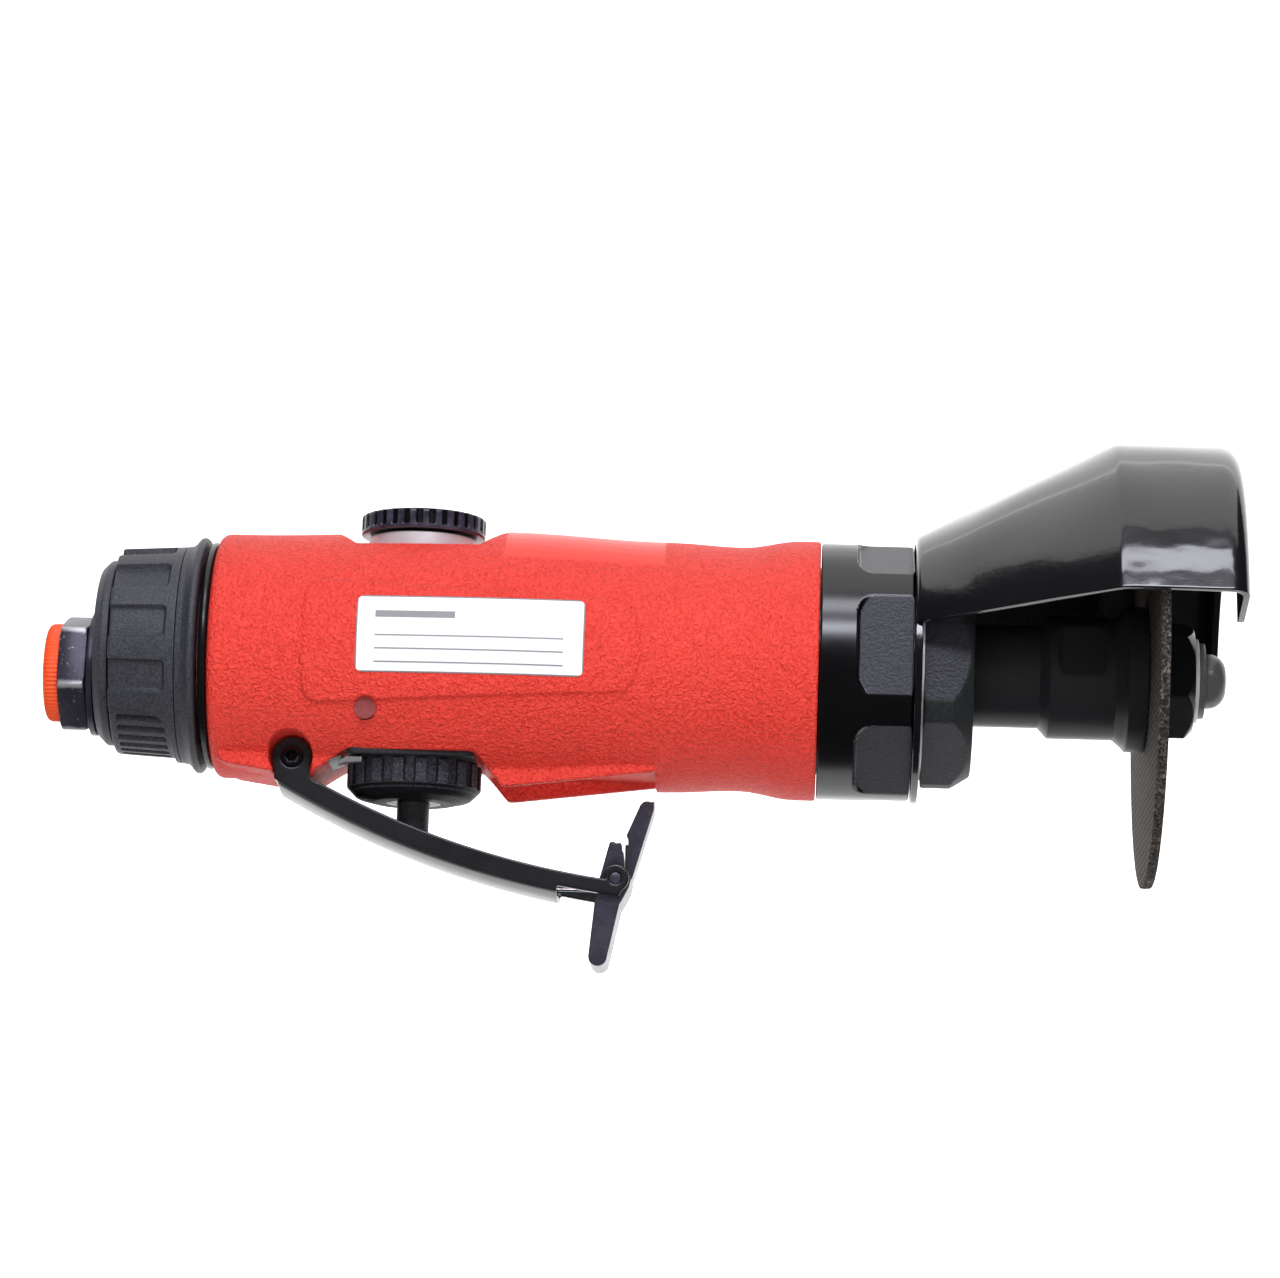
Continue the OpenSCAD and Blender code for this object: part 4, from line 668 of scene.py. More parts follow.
def housingPiece():
    look = housingLook
    piece = softened(merged("housing"), look["voxel"], look["rounds"], look["share"])
    x, z = look["recess"]
    r, end = look["recessR"], look["depth"]
    hole = lathe([(0, 0), (r, 0), (r, end), (0, end)], look["steps"])
    r, end = look["discR"], look["disc"]
    edge = fillet([(0, 0), (r, 0), (r, end), (0, end)], [0, look["discEdge"], 0, 0])
    disc = lathe(edge, look["steps"])
    moved(disc, -90, "Z", (x, look["floor"] - look["discGap"], z))
    # the floor disc's darker red is partly painted shade of the recess
    keep(fromShape("shadedRecessFloor", disc), "housing", "floor")
    carve(piece, fromShape("recessCutter", moved(hole, 90, "Z", (x, look["floor"], z))))
    shade(piece.data, look["crease"])
    return keep(piece, "housing", "red", ["housing"])


housing = housingPiece()
print("housing:", len(housing.data.polygons), "faces")

# exhaust deflector: a sleeve with pockets and louvres, and a smooth band with a lip
deflectorLook = {"profile": [(13.1, 10.2), (19.2, 10.2), (19.85, 22.25), (16.4, 22.25), (16.4, 12),
                             (13.1, 12)], "fillets": [0, 0.6, 0.15, 0, 0, 0], "spacing": 0.25, "inner": 17,
                 "steps": 720, "skin": 18.0, "meanR": 19.5, "pocketStart": 6.0, "pocketEnd": 20.6,
                 "pocketFirst": 9.0, "pocketPitch": 30.0, "pocketHalf": 3.03, "pocketCorner": 1.1,
                 "pocketDepth": 1.05, "panelAt": -96.0, "panelHalf": 56.0, "panelMargin": 6.0,
                 "panelStart": 4.0, "panelEnd": 21.3, "panelCorner": 5.0, "panelDepth": 0.75,
                 "louvrePitch": 8.0, "louvreSpan": 52.0, "louvreAt": 16.0, "louvreReach": 4.4,
                 "louvreHalf": 0.66, "louvreCorner": 0.3, "louvreDepth": 1.9, "pocketWall": (-0.05, 0.4),
                 "panelWall": (-0.05, 0.35), "louvreWall": (-0.1, 0.3), "louvreFade": (1.0, 1.6)}
bandLook = {"profile": [(16.4, 22.37), (19.9, 22.37), (20.05, 23.5), (20.7, 24.2), (21.6, 24.9),
                        (21.6, 25.6), (21.2, 26), (16.4, 26)],
            "fillets": [0, 0.15, 0.8, 0.8, 0.6, 0.3, 0.3, 0], "steps": 240}


def deflectorField(x, phi, r):
    look = deflectorLook
    if r < look["skin"]:
        return r
    off = turnFrom(phi, look["panelAt"], 360)
    if abs(off) > look["panelHalf"] + look["panelMargin"]:
        t = r * math.radians(turnFrom(phi, look["pocketFirst"], look["pocketPitch"]))
        start = look["pocketStart"]
        inside = within(x - start, t, look["pocketEnd"] - start, look["pocketHalf"], look["pocketCorner"])
        return r - look["pocketDepth"] * step(*look["pocketWall"], inside)
    start, degree = look["panelStart"], look["meanR"] * math.radians(1)
    inside = within(x - start, degree * off, look["panelEnd"] - start, degree * look["panelHalf"],
                    look["panelCorner"])
    r -= look["panelDepth"] * step(*look["panelWall"], inside)
    if abs(off) >= look["louvreSpan"]:
        return r
    t = degree * turnFrom(off, 0, look["louvrePitch"])
    louvre = within(x - look["louvreAt"], t, look["louvreReach"], look["louvreHalf"], look["louvreCorner"])
    return r - look["louvreDepth"] * step(*look["louvreWall"], louvre) * step(*look["louvreFade"], inside)


turnedPiece("deflectorSleeve", deflectorLook, deflectorField, "deflector", "charcoal", "exhaust_deflector")
band = lathe(fillet(bandLook["profile"], bandLook["fillets"]), bandLook["steps"])
keep(fromShape("deflectorBand", band, 40), "deflector", "charcoal")

# sealing ring and rear cap
sealLook = {"radius": 20.0, "at": 27.4, "cord": 0.8, "points": 24, "steps": 200}
capLook = {"profile": [(7, 6.5), (12.4, 6.5), (15.6, 7), (17, 8.4), (17, 9.8), (7, 9.8)],
           "fillets": [0, 0.4, 0.6, 0.9, 0.3, 0], "steps": 200}
cord = circle(sealLook["radius"], sealLook["at"], sealLook["cord"], sealLook["points"])
seal = fromShape("deflectorSeal", lathe(cord, sealLook["steps"]), 60)
keep(seal, "housing", "rubber", ["deflector_seal"])
cap = lathe(fillet(capLook["profile"], capLook["fillets"]), capLook["steps"])
keep(fromShape("rearCap", cap), "housing", "charcoal", ["rear_cap"])
print("rear end made")

# inlet and its dust plug
plugLook = {"profile": [(0, -2.95), (9, -2.95), (9, -0.1), (6.85, -0.1), (6.85, 3.6), (4.55, 3.6),
                        (4.55, 0), (0, 0)], "fillets": [0, 1.7, 0.2, 0, 0.2, 0.2, 0, 0], "segments": 7,
            "spacing": 0.4, "inner": 7, "steps": 576, "ribs": 72, "depth": 0.2, "ribFrom": (7.6, 8.6),
            "drop": -3.9}


def plugPiece():
    look = plugLook

    def ribs(x, phi, r):
        wave = 0.5 + 0.5 * math.cos(math.radians(phi) * look["ribs"])
        return r - look["depth"] * wave * step(*look["ribFrom"], r)

    bm = turned(look["profile"], look, ribs)
    bmesh.ops.translate(bm, vec=(0, 0, look["drop"]), verts=bm.verts)
    return keep(fromShape("dustPlug", bm, 50), "dust_plug", "orange", ["dust_plug"])


plugPiece()
keep(crispCopy("inlet_bushing", 0.25), "housing", "inlet", ["inlet_bushing"])
print("inlet made")

# top knob and regulator dial
knobLook = {"ribs": 30, "depth": 0.85, "share": 0.5, "bore": 5.45, "well": 3.4, "screw": 1.6,
            "wellDepth": 0.75, "screwDepth": 1.4, "collar": 0.75,
            "fillets": [0, 0.45, 0.8, 0.2, 0, 0, 0, 0], "spacing": 0.2, "inner": 9.5, "steps": 720, "over": 2}
dialLook = {"ribs": 18, "depth": 0.85, "share": 0.5, "bore": 5.05, "flatR": 7.4, "domeR": 10.4,
            "dome": 0.75, "side": 5.1, "grip": 5.2, "ledge": 0.8,
            "fillets": [0.3, 0.8, 1.8, 0.7, 0.35, 0.1, 0.2, 0], "spacing": 0.2, "inner": 11, "steps": 720}
grooveLook = {"corner": 0.3, "wall": (-0.08, 0.18), "blend": 0.06}
ringLook = {"bore": 5.45, "neck": 9.2, "flange": 10.0, "thick": 3.0, "fillets": [0, 0.2, 0, 0.2, 0.35, 0],
            "steps": 160}


def grooves(look, radius, low, high):
    def field(x, phi, r):
        pitch = 2 * math.pi * radius / look["ribs"]
        t = radius * math.radians(turnFrom(phi, 0, 360 / look["ribs"]))
        half = pitch * look["share"] / 2
        inside = within(x - (low + high) / 2, t, (high - low) / 2, half, grooveLook["corner"])
        floor = radius - look["depth"] * step(*grooveLook["wall"], inside)
        return softMin(r, floor, grooveLook["blend"])
    return field


def knobPiece():
    look = knobLook
    low, high = span("reverse_knob")
    middle, r = (low.x + high.x) / 2, (high.x - low.x) / 2
    z0, z1 = low.z, high.z
    wellZ, screwZ = z1 - look["wellDepth"], z1 - look["screwDepth"]
    points = [(look["bore"], z0), (r, z0), (r, z1), (look["well"], z1), (look["well"], wellZ),
              (look["screw"], wellZ), (look["screw"], screwZ), (look["bore"], screwZ)]
    bm = turned(points, look, grooves(look, r, z0 + look["collar"], z1 + look["over"]))
    keep(fromShape("reverseKnob", upright(bm, middle), 50), "reverse_knob", "knob", ["reverse_knob"])
    return middle


def dialPiece(middle):
    look = dialLook
    low, high = span("regulator_dial")
    r = (high.x - low.x) / 2
    z0, z1 = low.z, high.z
    ledgeR, ledgeZ = r - look["ledge"], z1 - look["ledge"]
    points = [(look["bore"], z0), (look["flatR"], z0), (look["domeR"], z0 + look["dome"]),
              (r, z1 - look["side"]), (r, ledgeZ), (ledgeR, ledgeZ), (ledgeR, z1), (look["bore"], z1)]
    bm = turned(points, look, grooves(look, r, z1 - look["grip"], z1))
    keep(fromShape("regulatorDial", upright(bm, middle), 50), "regulator", "dial", ["regulator_dial"])


def ringPiece(middle):
    look = ringLook
    low, high = span("reverse_ring")
    z0, z1 = low.z, high.z
    points = [(look["bore"], z0), (look["neck"], z0), (look["neck"], z1 - look["thick"]),
              (look["flange"], z1 - look["thick"]), (look["flange"], z1), (look["bore"], z1)]
    ring = lathe(fillet(points, look["fillets"]), look["steps"])
    keep(fromShape("reverseRing", upright(ring, middle)), "housing", "zinc", ["reverse_ring"])


knobAt = knobPiece()
dialPiece(knobAt)
ringPiece(knobAt)

# black lining at the near and far edge of the dial's window, and the bright detent tab
liningLook = {"x": (53.5, 76.5), "z": (-19.35, -18.3), "reach": 14.25, "room": 12.7, "roomAt": 65.0,
              "corner": 1.6, "over": 2, "steps": 120, "edge": 0.2}


def liningPiece():
    look = liningLook
    x0, x1 = look["x"]
    z0, z1 = look["z"]
    bm = block((x1 - x0, 2 * look["reach"], z1 - z0), ((x0 + x1) / 2, 0, (z0 + z1) / 2))
    bevelled(bm, [e for e in bm.edges if abs(e.verts[0].co.z - e.verts[1].co.z) > 0.5], look["corner"])
    piece = fromShape("windowLining", bm)
    r = look["room"]
    below, above = z0 - look["over"], z1 + look["over"]
    room = lathe([(0, below), (r, below), (r, above), (0, above)], look["steps"])
    carve(piece, fromShape("liningCutter", upright(room, look["roomAt"])))
    rounded(piece, look["edge"], 2, 40)
    return keep(piece, "housing", "lining")


tabLook = {"front": -11.7, "back": -1.0, "nib": (53.4, 56.4), "nibZ": (-21.0, -19.9),
           "nibY": (-13.4, -11.6), "voxel": 0.1, "rounds": 3, "share": 0.6,
           "slopeLow": [(0.9, 0.8), (1.1, 1.3)], "slopeHigh": [(0.2, -0.5), (0.2, 0)]}


def added(bm, other):  # another shape into the same mesh
    spare = meshOf("spare", other)
    bm.from_mesh(spare)
    bpy.data.meshes.remove(spare)
    return bm


def tabPiece():
    look = tabLook
    low, high = span("dial_detent")
    foot, top = [[(end.x + x, end.z + z) for x, z in look[key]]
                 for end, key in ((low, "slopeLow"), (high, "slopeHigh"))]
    slope = [foot[0], *top, foot[1]]
    (x0, x1), (z0, z1) = look["nib"], look["nibZ"]
    nib = [(x0 - 1.2, z0 - 0.5), (x0, z0), (x1, z0 + 0.2), (x1, z1), (x0 + 0.2, z1), (x0 - 1.0, z1 - 0.8)]
    bm = added(plate(slope, look["front"], look["back"]), plate(nib, *look["nibY"]))
    piece = softened(fromShape("detentTab", bm), look["voxel"], look["rounds"], look["share"])
    return keep(piece, "housing", "tab", ["dial_detent"])


liningPiece()
tabPiece()
print("knob and dial made")

# throttle lever: a bowed channel with two ears, softened from a crisp shape
leverLook = {"pivot": (43.3, -19.5), "half": 9.0, "sheet": 1.5, "bow": 158.0, "height": 4.8,
             "rimAt": (5.8, -4.9), "rimEnd": (59.3, -21.0), "ear": 3.6, "tail": 3.1,
             "lock": (59.3, -20.6), "eye": 2.5, "slot": 10.5, "slotDepth": 2.7, "corner": 1.2,
             "innerCorner": 1.0, "crown": 1.15, "crownFade": (0.1, 1.3), "pinHole": 2.0, "lockHole": 1.1,
             "earFoot": [(3.3, -3.3), (4.2, -4.3)], "eyeBack": 1.5, "tailBack": 0.8, "slotLean": 0.6,
             "past": 6, "behind": 4, "above": 8, "over": 12, "voxel": 0.19, "rounds": 4, "share": 0.6}


def leverPiece():
    look = leverLook
    px, pz = look["pivot"]
    first, last = Vector(look["rimAt"]), Vector(look["rimEnd"])
    run = last - first
    lift = math.sqrt(look["bow"] ** 2 - run.length_squared / 4) / run.length
    bowX = (first.x + last.x) / 2 - run.y * lift
    bowZ = (first.y + last.y) / 2 + run.x * lift

    def height(r, x):
        return bowZ - math.sqrt(r * r - (bowX - x) ** 2)

    def bow(r, x0, x1, count=28):
        return [(x0 + (x1 - x0) * i / count, height(r, x0 + (x1 - x0) * i / count)) for i in range(count + 1)]

    def placed(points):
        return [(x + px, z + pz) for x, z in points]

    def fromBow(at):
        return math.hypot(at.x - px - bowX, at.z - pz - bowZ)

    def rims(shape, r, half):  # the long edges at a bow radius
        return [e for e in shape.edges if abs(e.verts[0].co.y - e.verts[1].co.y) < 0.01
                and all(abs(fromBow(v.co) - r) < 0.02 and abs(v.co.y) > half - 0.01 for v in e.verts)]

    floor, under = look["bow"] + look["height"] - look["sheet"], look["bow"] + look["height"]
    lx, lz = look["lock"]
    outline = (bow(look["bow"], look["rimAt"][0], lx - look["eyeBack"])
               + arc(lx, lz, look["eye"], 150, -60, 14)
               + bow(under, lx, -look["tail"] + look["tailBack"])
               + [(-look["tail"], height(floor, -look["tail"]))]
               + arc(0, 0, look["ear"], 205, -25, 26)
               + look["earFoot"])
    bm = plate(placed(outline), -look["half"], look["half"])
    piece = fromShape("throttleLever", bevelled(bm, rims(bm, under, look["half"]), look["corner"], 7))
    inner = look["half"] - look["sheet"]
    rear, front, over = -look["tail"] - look["behind"], lx + look["past"], look["over"]
    room = bow(floor, rear, front) + [(front, look["above"]), (rear, look["above"])]
    bm = plate(placed(room), -inner, inner)
    carve(piece, fromShape("channelCutter", bevelled(bm, rims(bm, floor, inner), look["innerCorner"], 4)))
    back = lx - look["slot"]
    slot = (bow(look["bow"] + look["slotDepth"], back, front, 10)
            + [(front, lz - over), (back - look["slotLean"], lz - over)])
    carve(piece, fromShape("slotCutter", plate(placed(slot), -over, over)))
    for x, z, r in ((0, 0, look["pinHole"]), (lx, lz, look["lockHole"])):
        carve(piece, fromShape("pinCutter", plate(placed(circle(x, z, r, 30)), -over, over)))
    softened(piece, look["voxel"], look["rounds"], look["share"])
    for v in piece.data.vertices:  # the underside rises slightly toward both sides
        at = toTool @ v.co
        at.z += look["crown"] * (at.y / look["half"]) ** 2 * step(*look["crownFade"], fromBow(at) - floor)
        v.co = toRow @ at
    return keep(piece, "lever", "lever", ["throttle_lever"])


lever = leverPiece()
print("lever:", len(lever.data.polygons), "faces")

# safety lock: its solid with a fuller arm and wider lugs, softened into one moulding
lockLook = {"pivot": (102.6, -40.1), "armHalf": 4.2, "lugs": (5.0, 6.85), "voxel": 0.15, "rounds": 5,
            "share": 0.6,
            "arm": [(2.0, -0.2), (2.6, -0.4), (2.9, 0.5), (6.5, 13.3), (6.5, 14.1), (6.1, 14.6),
                    (5.4, 14.8), (4.6, 14.7), (4.0, 14.1), (1.6, 8.4), (2.0, 7.7)],
            "lugBack": [(-2.9, 0.2), (-1.3, 6.7), (-0.9, 6.9), (-0.3, 6.9), (-0.3, 2.2), (-1.6, 1.2)],
            "lugFront": [(0.3, 6.8), (0.9, 6.6), (1.5, 2.0), (0.9, 1.9), (0.3, 2.2)]}


def lockPiece():
    look = lockLook
    px, pz = look["pivot"]
    piece = merged("safety_lock")
    bm = bmesh.new()
    bm.from_mesh(piece.data)
    near, far = look["lugs"]
    sides = ((-far, -near), (near, far))
    lugs = [(look[lug], *side) for lug in ("lugBack", "lugFront") for side in sides]
    for outline, y0, y1 in [(look["arm"], -look["armHalf"], look["armHalf"])] + lugs:
        extra = plate([(x + px, z + pz) for x, z in outline], y0, y1)
        bmesh.ops.transform(extra, matrix=toRow, verts=extra.verts)
        added(bm, extra)
    bm.to_mesh(piece.data)
    bm.free()
    softened(piece, look["voxel"], look["rounds"], look["share"])
    return keep(piece, "safety_lock", "lock", ["safety_lock"])


lockPiece()

# lock spring: a wire coil with a leg along the lever and one up the lock's arm
springLook = {"coil": 1.55, "wire": 0.3, "turns": 3.25, "pitch": 1.15, "back": 12.0, "up": 7.4,
              "bend": 0.003, "around": 24, "along": 4}


def springPiece():
    look = springLook
    px, pz = lockLook["pivot"]
    half = look["turns"] * look["pitch"] / 2
    coil, back, turn, leg = (look[key] for key in ("coil", "back", "around", "along"))
    path = [(-back + (back - coil) * i / leg, -half, -coil) for i in range(leg)]
    for i in range(int(look["turns"] * turn) + 1):
        a = math.radians(360 * i / turn - 90)
        path.append((coil * math.cos(a), look["pitch"] * i / turn - half, coil * math.sin(a)))
    path += [(path[-1][0], half, look["up"] * i / leg) for i in range(1, leg + 1)]
    curve = bpy.data.curves.new("lockSpring", "CURVE")
    curve.dimensions = "3D"
    curve.bevel_depth = look["wire"] * milli
    curve.bevel_resolution = 4
    curve.use_fill_caps = True
    line = curve.splines.new("POLY")
    line.points.add(len(path) - 1)
    for point, (x, y, z) in zip(line.points, path):
        point.co = (*(toRow @ Vector((x + px, y, z + pz))), 1)
    drawn = linked("lockSpringPath", curve)
    bpy.context.view_layer.update()
    mesh = bpy.data.meshes.new_from_object(drawn.evaluated_get(bpy.context.evaluated_depsgraph_get()))
    bpy.data.objects.remove(drawn)
    shade(mesh, 60)
    piece = dressed(linked("lockSpring", mesh), "bright", ["lock_spring"])
    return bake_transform(piece)


springPiece()
print("lock made")

# clamp nut: turned, with six milled flats of their own finish
nutLook = {"profile": [(13, 128.4), (18.9, 128.4), (18.9, 138.4), (23.4, 138.4), (23.4, 155.2),
                       (16.5, 155.2), (16.5, 165.3), (9.8, 165.3), (9.8, 146.6), (13, 146.6)],
           "fillets": [0, 0.4, 0, 0.4, 0.7, 0, 0.4, 0.2, 0, 0], "spacing": 0.25, "inner": 20.4,
           "steps": 600, "flats": 43.0, "turn": 4.0, "flatAt": 144.9, "flatLong": 8.0, "halfWidth": 9.9,
           "corner": 4.5, "skin": 20.5, "from": 143.0, "end": 155.0, "rim": 23.3, "blend": 0.12,
           "wall": (-0.05, 0.45), "steep": 0.4, "margin": 0.1, "inset": 0.3, "slack": 0.03}


def flatDepth(look, x, phi, r):  # depth inside a milled flat's outline
    t = r * math.sin(math.radians(turnFrom(phi, look["turn"], 60)))
    half = look["flatLong"]
    return within(x - look["flatAt"] - half, t, half, look["halfWidth"], look["corner"])


def nutField(x, phi, r):
    look = nutLook
    if r < look["skin"] or x < look["from"]:
        return r
    cut = r - softMin(r, acrossFlats(look, phi), look["blend"])
    return r - cut * step(*look["wall"], flatDepth(look, x, phi, r))


def nutPiece():
    look = nutLook
    piece = turnedPiece("clampNut", look, nutField, "housing", "turned", "clamp_nut")

    def milled(at, normal):
        phi, r = polar(at)
        return (look["flatAt"] + look["margin"] < at.x < look["end"] and abs(normal.x) <= look["steep"]
                and r < min(look["rim"], acrossFlats(look, phi) + look["slack"])
                and flatDepth(look, at.x, phi, r) > look["inset"])

    return second(piece, "blasted", milled)


nutPiece()

# guard nut: a hexagon with a turned cone in front
guardNutLook = {"profile": [(16.6, 157.25), (20.9, 157.25), (20.9, 162.6), (18.6, 166.2), (10.2, 166.2),
                            (10.2, 165.45), (16.6, 165.45)], "fillets": [0, 0.5, 0.3, 0.5, 0.2, 0, 0],
                "spacing": 0.25, "inner": 17.4, "steps": 600, "flats": 38.0, "turn": 2.0, "skin": 17.5,
                "corner": 20.75, "blend": 0.12, "steep": 0.2, "slack": 0.1}


def hexagonal(look):  # flats on all that lies outside the skin
    def field(x, phi, r):
        return softMin(r, acrossFlats(look, phi), look["blend"]) if r > look["skin"] else r
    return field


def guardNutPiece():
    look = guardNutLook
    piece = turnedPiece("guardNut", look, hexagonal(look), "housing", "blasted", "guard_nut")

    def turnedFace(at, normal):
        phi, r = polar(at)
        inside = r < acrossFlats(look, phi) - look["slack"]
        return r > look["corner"] or abs(normal.x) > look["steep"] or inside

    return second(piece, "lining", turnedFace)


guardNutPiece()

# spindle with two wrench flats, wheel, outer flange
spindleLook = {"profile": [(4.9, 147.1), (9.35, 147.1), (9.35, 178.4), (11.2, 180.1), (11.2, 192),
                           (12.5, 193.6), (13.3, 194.3), (13.3, 197.9), (4.76, 197.9), (4.76, 199.3),
                           (3.1, 199.3), (3.1, 183.9), (4.9, 183.9)],
               "fillets": [0, 0.3, 0.25, 0.25, 0.25, 0.2, 0.2, 0.35, 0, 0.2, 0, 0, 0], "segments": 3,
               "spacing": 0.3, "inner": 9, "steps": 360, "flats": 20.0, "turn": 20.0, "flatAt": 186.0,
               "half": 3.6, "skin": 8.5, "reach": 1.2, "blend": 0.1}


def spindleField(x, phi, r):
    look = spindleLook
    off = math.radians(turnFrom(phi, look["turn"], 180))
    if r < look["skin"] or abs(off) > look["reach"]:
        return r
    flat = (look["flats"] / 2 + max(0.0, abs(x - look["flatAt"]) - look["half"])) / math.cos(off)
    return softMin(r, flat, look["blend"])


turnedPiece("spindleShaft", spindleLook, spindleField, "spindle", "satin", "spindle")

discLook = {"profile": [(4.81, 197.95), (38.1, 197.95), (38.1, 199.75), (4.81, 199.75)],
            "fillets": [0, 0.25, 0.25, 0], "segments": 3, "spacing": 0.4, "inner": 36, "steps": 900,
            "grit": 0.16, "gritFrom": 36.5, "gritFull": 38.0, "grain": 1.1, "shrink": 0.25}


def discField(x, phi, r):
    look = discLook
    if r < look["gritFrom"]:
        return r
    rough = noise.noise(around(phi, look["gritFull"], x) * look["grain"]) - look["shrink"]
    return r + look["grit"] * rough * step(look["gritFrom"], look["gritFull"], r)


turnedPiece("cutoffWheel", discLook, discField, "spindle", "wheel", "cutoff_wheel")

flangeLook = {"profile": [(3.1, 199.85), (10.97, 199.85), (10.97, 204.9), (9.3, 206.5), (3.1, 206.5)],
              "fillets": [0, 0.3, 0.2, 0.3, 0], "spacing": 0.3, "inner": 8, "steps": 480, "flats": 19.0,
              "turn": 7.0, "skin": 8.0, "blend": 0.12}
turnedPiece("outerFlange", flangeLook, hexagonal(flangeLook), "spindle", "turned", "outer_flange")
print("front end made")

# guard: a sheet-metal sector with slight dents, and its ring plate
guardLook = {"sheet": 1.3, "start": -82.8, "sweep": 160.0, "steps": 260, "at": 155.4, "long": 58.0,
             "cone": 35.6, "bore": 18.5, "neck": 24.9, "radius": 43.0, "lip": 28.0,
             "fillets": [0, 1.6, 3.5, 4, 0.3, 0.3, 2.7, 2.6, 0.6, 0], "segments": 8, "spacing": 1.0,
             "inner": 25, "skin": (25.5, 30.0), "dent": 0.28, "dentSize": 0.075, "ripple": 0.09,
             "rippleSize": 0.42, "rippleLong": 0.7, "rippleFrom": (188, 192), "rippleTo": (40, 12),
             "edge": 0.3, "ring": (16.58, 24.0), "ringSteps": 160}


def guardField(x, phi, r):
    look = guardLook
    if r < look["skin"][0]:
        return r
    dents = noise.noise(around(phi, look["radius"], x) * look["dentSize"]) * look["dent"]
    fine = noise.noise(around(phi, look["radius"], x * look["rippleLong"]) * look["rippleSize"])
    fine *= look["ripple"] * step(*look["rippleFrom"], x) * step(*look["rippleTo"], phi)
    return r + (dents + fine) * step(*look["skin"], r)


def guardPieces():
    look = guardLook
    t, x0, rim, neck, bore = (look[key] for key in ("sheet", "at", "radius", "neck", "bore"))
    end, bend = x0 + look["long"], x0 + look["cone"]
    points = [(bore, x0), (neck, x0), (rim, bend), (rim, end), (look["lip"], end), (look["lip"], end - t),
              (rim - t, end - t), (rim - t, bend + 0.3), (neck - t * 0.75, x0 + t), (bore, x0 + t)]
    shell = fromShape("guardShell", turned(points, look, guardField), 50)
    edge, (near, far) = look["edge"], look["ring"]
    keep(rounded(shell, edge, 3, 60), "guard", "guard", ["guard"])
    ring = fillet([(near, x0), (far, x0), (far, x0 + t), (near, x0 + t)], [0, edge, edge, 0], 3)
    keep(fromShape("guardRing", lathe(ring, look["ringSteps"])), "guard", "guard")


guardPieces()

# small hardware as crisp copies
for name, finish, bevel in (
        ("knob_screw", "bright", 0.15), ("valve_stem", "stem", 0.0), ("valve_bushing", "gloss", 0.15),
        ("lever_pin", "turned", 0.2), ("lock_pin", "lock", 0.2), ("guard_washer", "zinc", 0.1),
        ("flat_washer", "zinc", 0.12), ("lock_washer", "screw", 0.12), ("arbor_screw", "screw", 0.15)):
    keep(crispCopy(name, bevel), nodes[name]["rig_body"], finish, [name])

# inner pieces keep their solids
inner = {"inlet_screen": "bright", "muffler_ring": "felt", "reverse_spool": "brass", "spool_seal": "rubber",
         "valve_seal": "rubber", "motor_gasket": "fibre", "rear_end_plate": "aluminium",
         "motor_cylinder": "bright", "front_end_plate": "aluminium", "cylinder_dowel": "bright",
         "clamp_washer": "bright", "rear_bearing_outer": "bright", "rear_bearing_inner": "bright",
         "rear_bearing_balls": "bright", "front_bearing_outer": "bright", "front_bearing_inner": "bright",
         "front_bearing_balls": "bright", "rotor": "bright", "vanes": "fibre"}
for name, finish in inner.items():
    nodes[name].data.materials.clear()
    nodes[name].data.materials.append(finishes[finish])

# valve spring: seated in the housing
valveLook = {"endCoil": 0.0008}


def valveSpringPiece():
    piece = dressed(merged("valve_spring"), "bright", ["valve_spring"])
    shade(piece.data, 60)
    ends = [[pick(v.co[i] for v in piece.data.vertices) for i in range(3)] for pick in (min, max)]
    middle = [(low + high) / 2 for low, high in zip(*ends)]
    seat = Vector((middle[0], middle[1], ends[1][2] - valveLook["endCoil"]))
    foot = Vector((middle[0], middle[1], ends[0][2] + valveLook["endCoil"]))
    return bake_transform(piece)


valveSpringPiece()

# blank label laid on the raised panel
labelLook = {"length": 41.0, "height": 14.0, "corner": 1.4, "thick": 0.14, "x": 75.8, "z": 1.05,
             "cuts": (20, 14), "lift": 0.02, "rayFrom": -60}


def labelPiece():
    look = labelLook
    halfL, halfH, c = look["length"] / 2, look["height"] / 2, look["corner"]
    outline = []
    for i, (sx, sz) in enumerate(((1, 1), (-1, 1), (-1, -1), (1, -1))):
        outline += arc(look["x"] + sx * (halfL - c), look["z"] + sz * (halfH - c), c, i * 90, i * 90 + 90, 6)
    bm = plate(outline, 0, look["thick"])
    for way, middle, half, cuts in (((1, 0, 0), look["x"], halfL, look["cuts"][0]),
                                    ((0, 0, 1), look["z"], halfH, look["cuts"][1])):
        for i in range(1, cuts):
            bmesh.ops.bisect_plane(bm, geom=bm.verts[:] + bm.edges[:] + bm.faces[:], plane_no=way,
                                   plane_co=Vector(way) * (middle - half + 2 * half * i / cuts))
    tree = BVHTree.FromPolygons([toTool @ v.co for v in housing.data.vertices],
                                [tuple(p.vertices) for p in housing.data.polygons])
    for v in bm.verts:
        hit = tree.ray_cast(Vector((v.co.x, look["rayFrom"], v.co.z)), Vector((0, 1, 0)))[0]
        v.co.y += hit.y - look["thick"] + look["lift"]
    return keep(fromShape("blankLabel", bm), "housing", "paper")


labelPiece()
print("pieces dressed")

# stage: a white sweep behind and under the tool, a pale surround and softboxes
stageLook = {"floor": -0.45, "wall": 1.1, "front": 0.12, "half": 2.4, "top": 2.4, "dome": 9.0, "white": 0.9,
             "glow": 1.0, "floorGlow": 0.3, "glowRise": (0.01, 0.12), "world": 0.035,
             "air": (0.92, 0.95, 1, 1)}


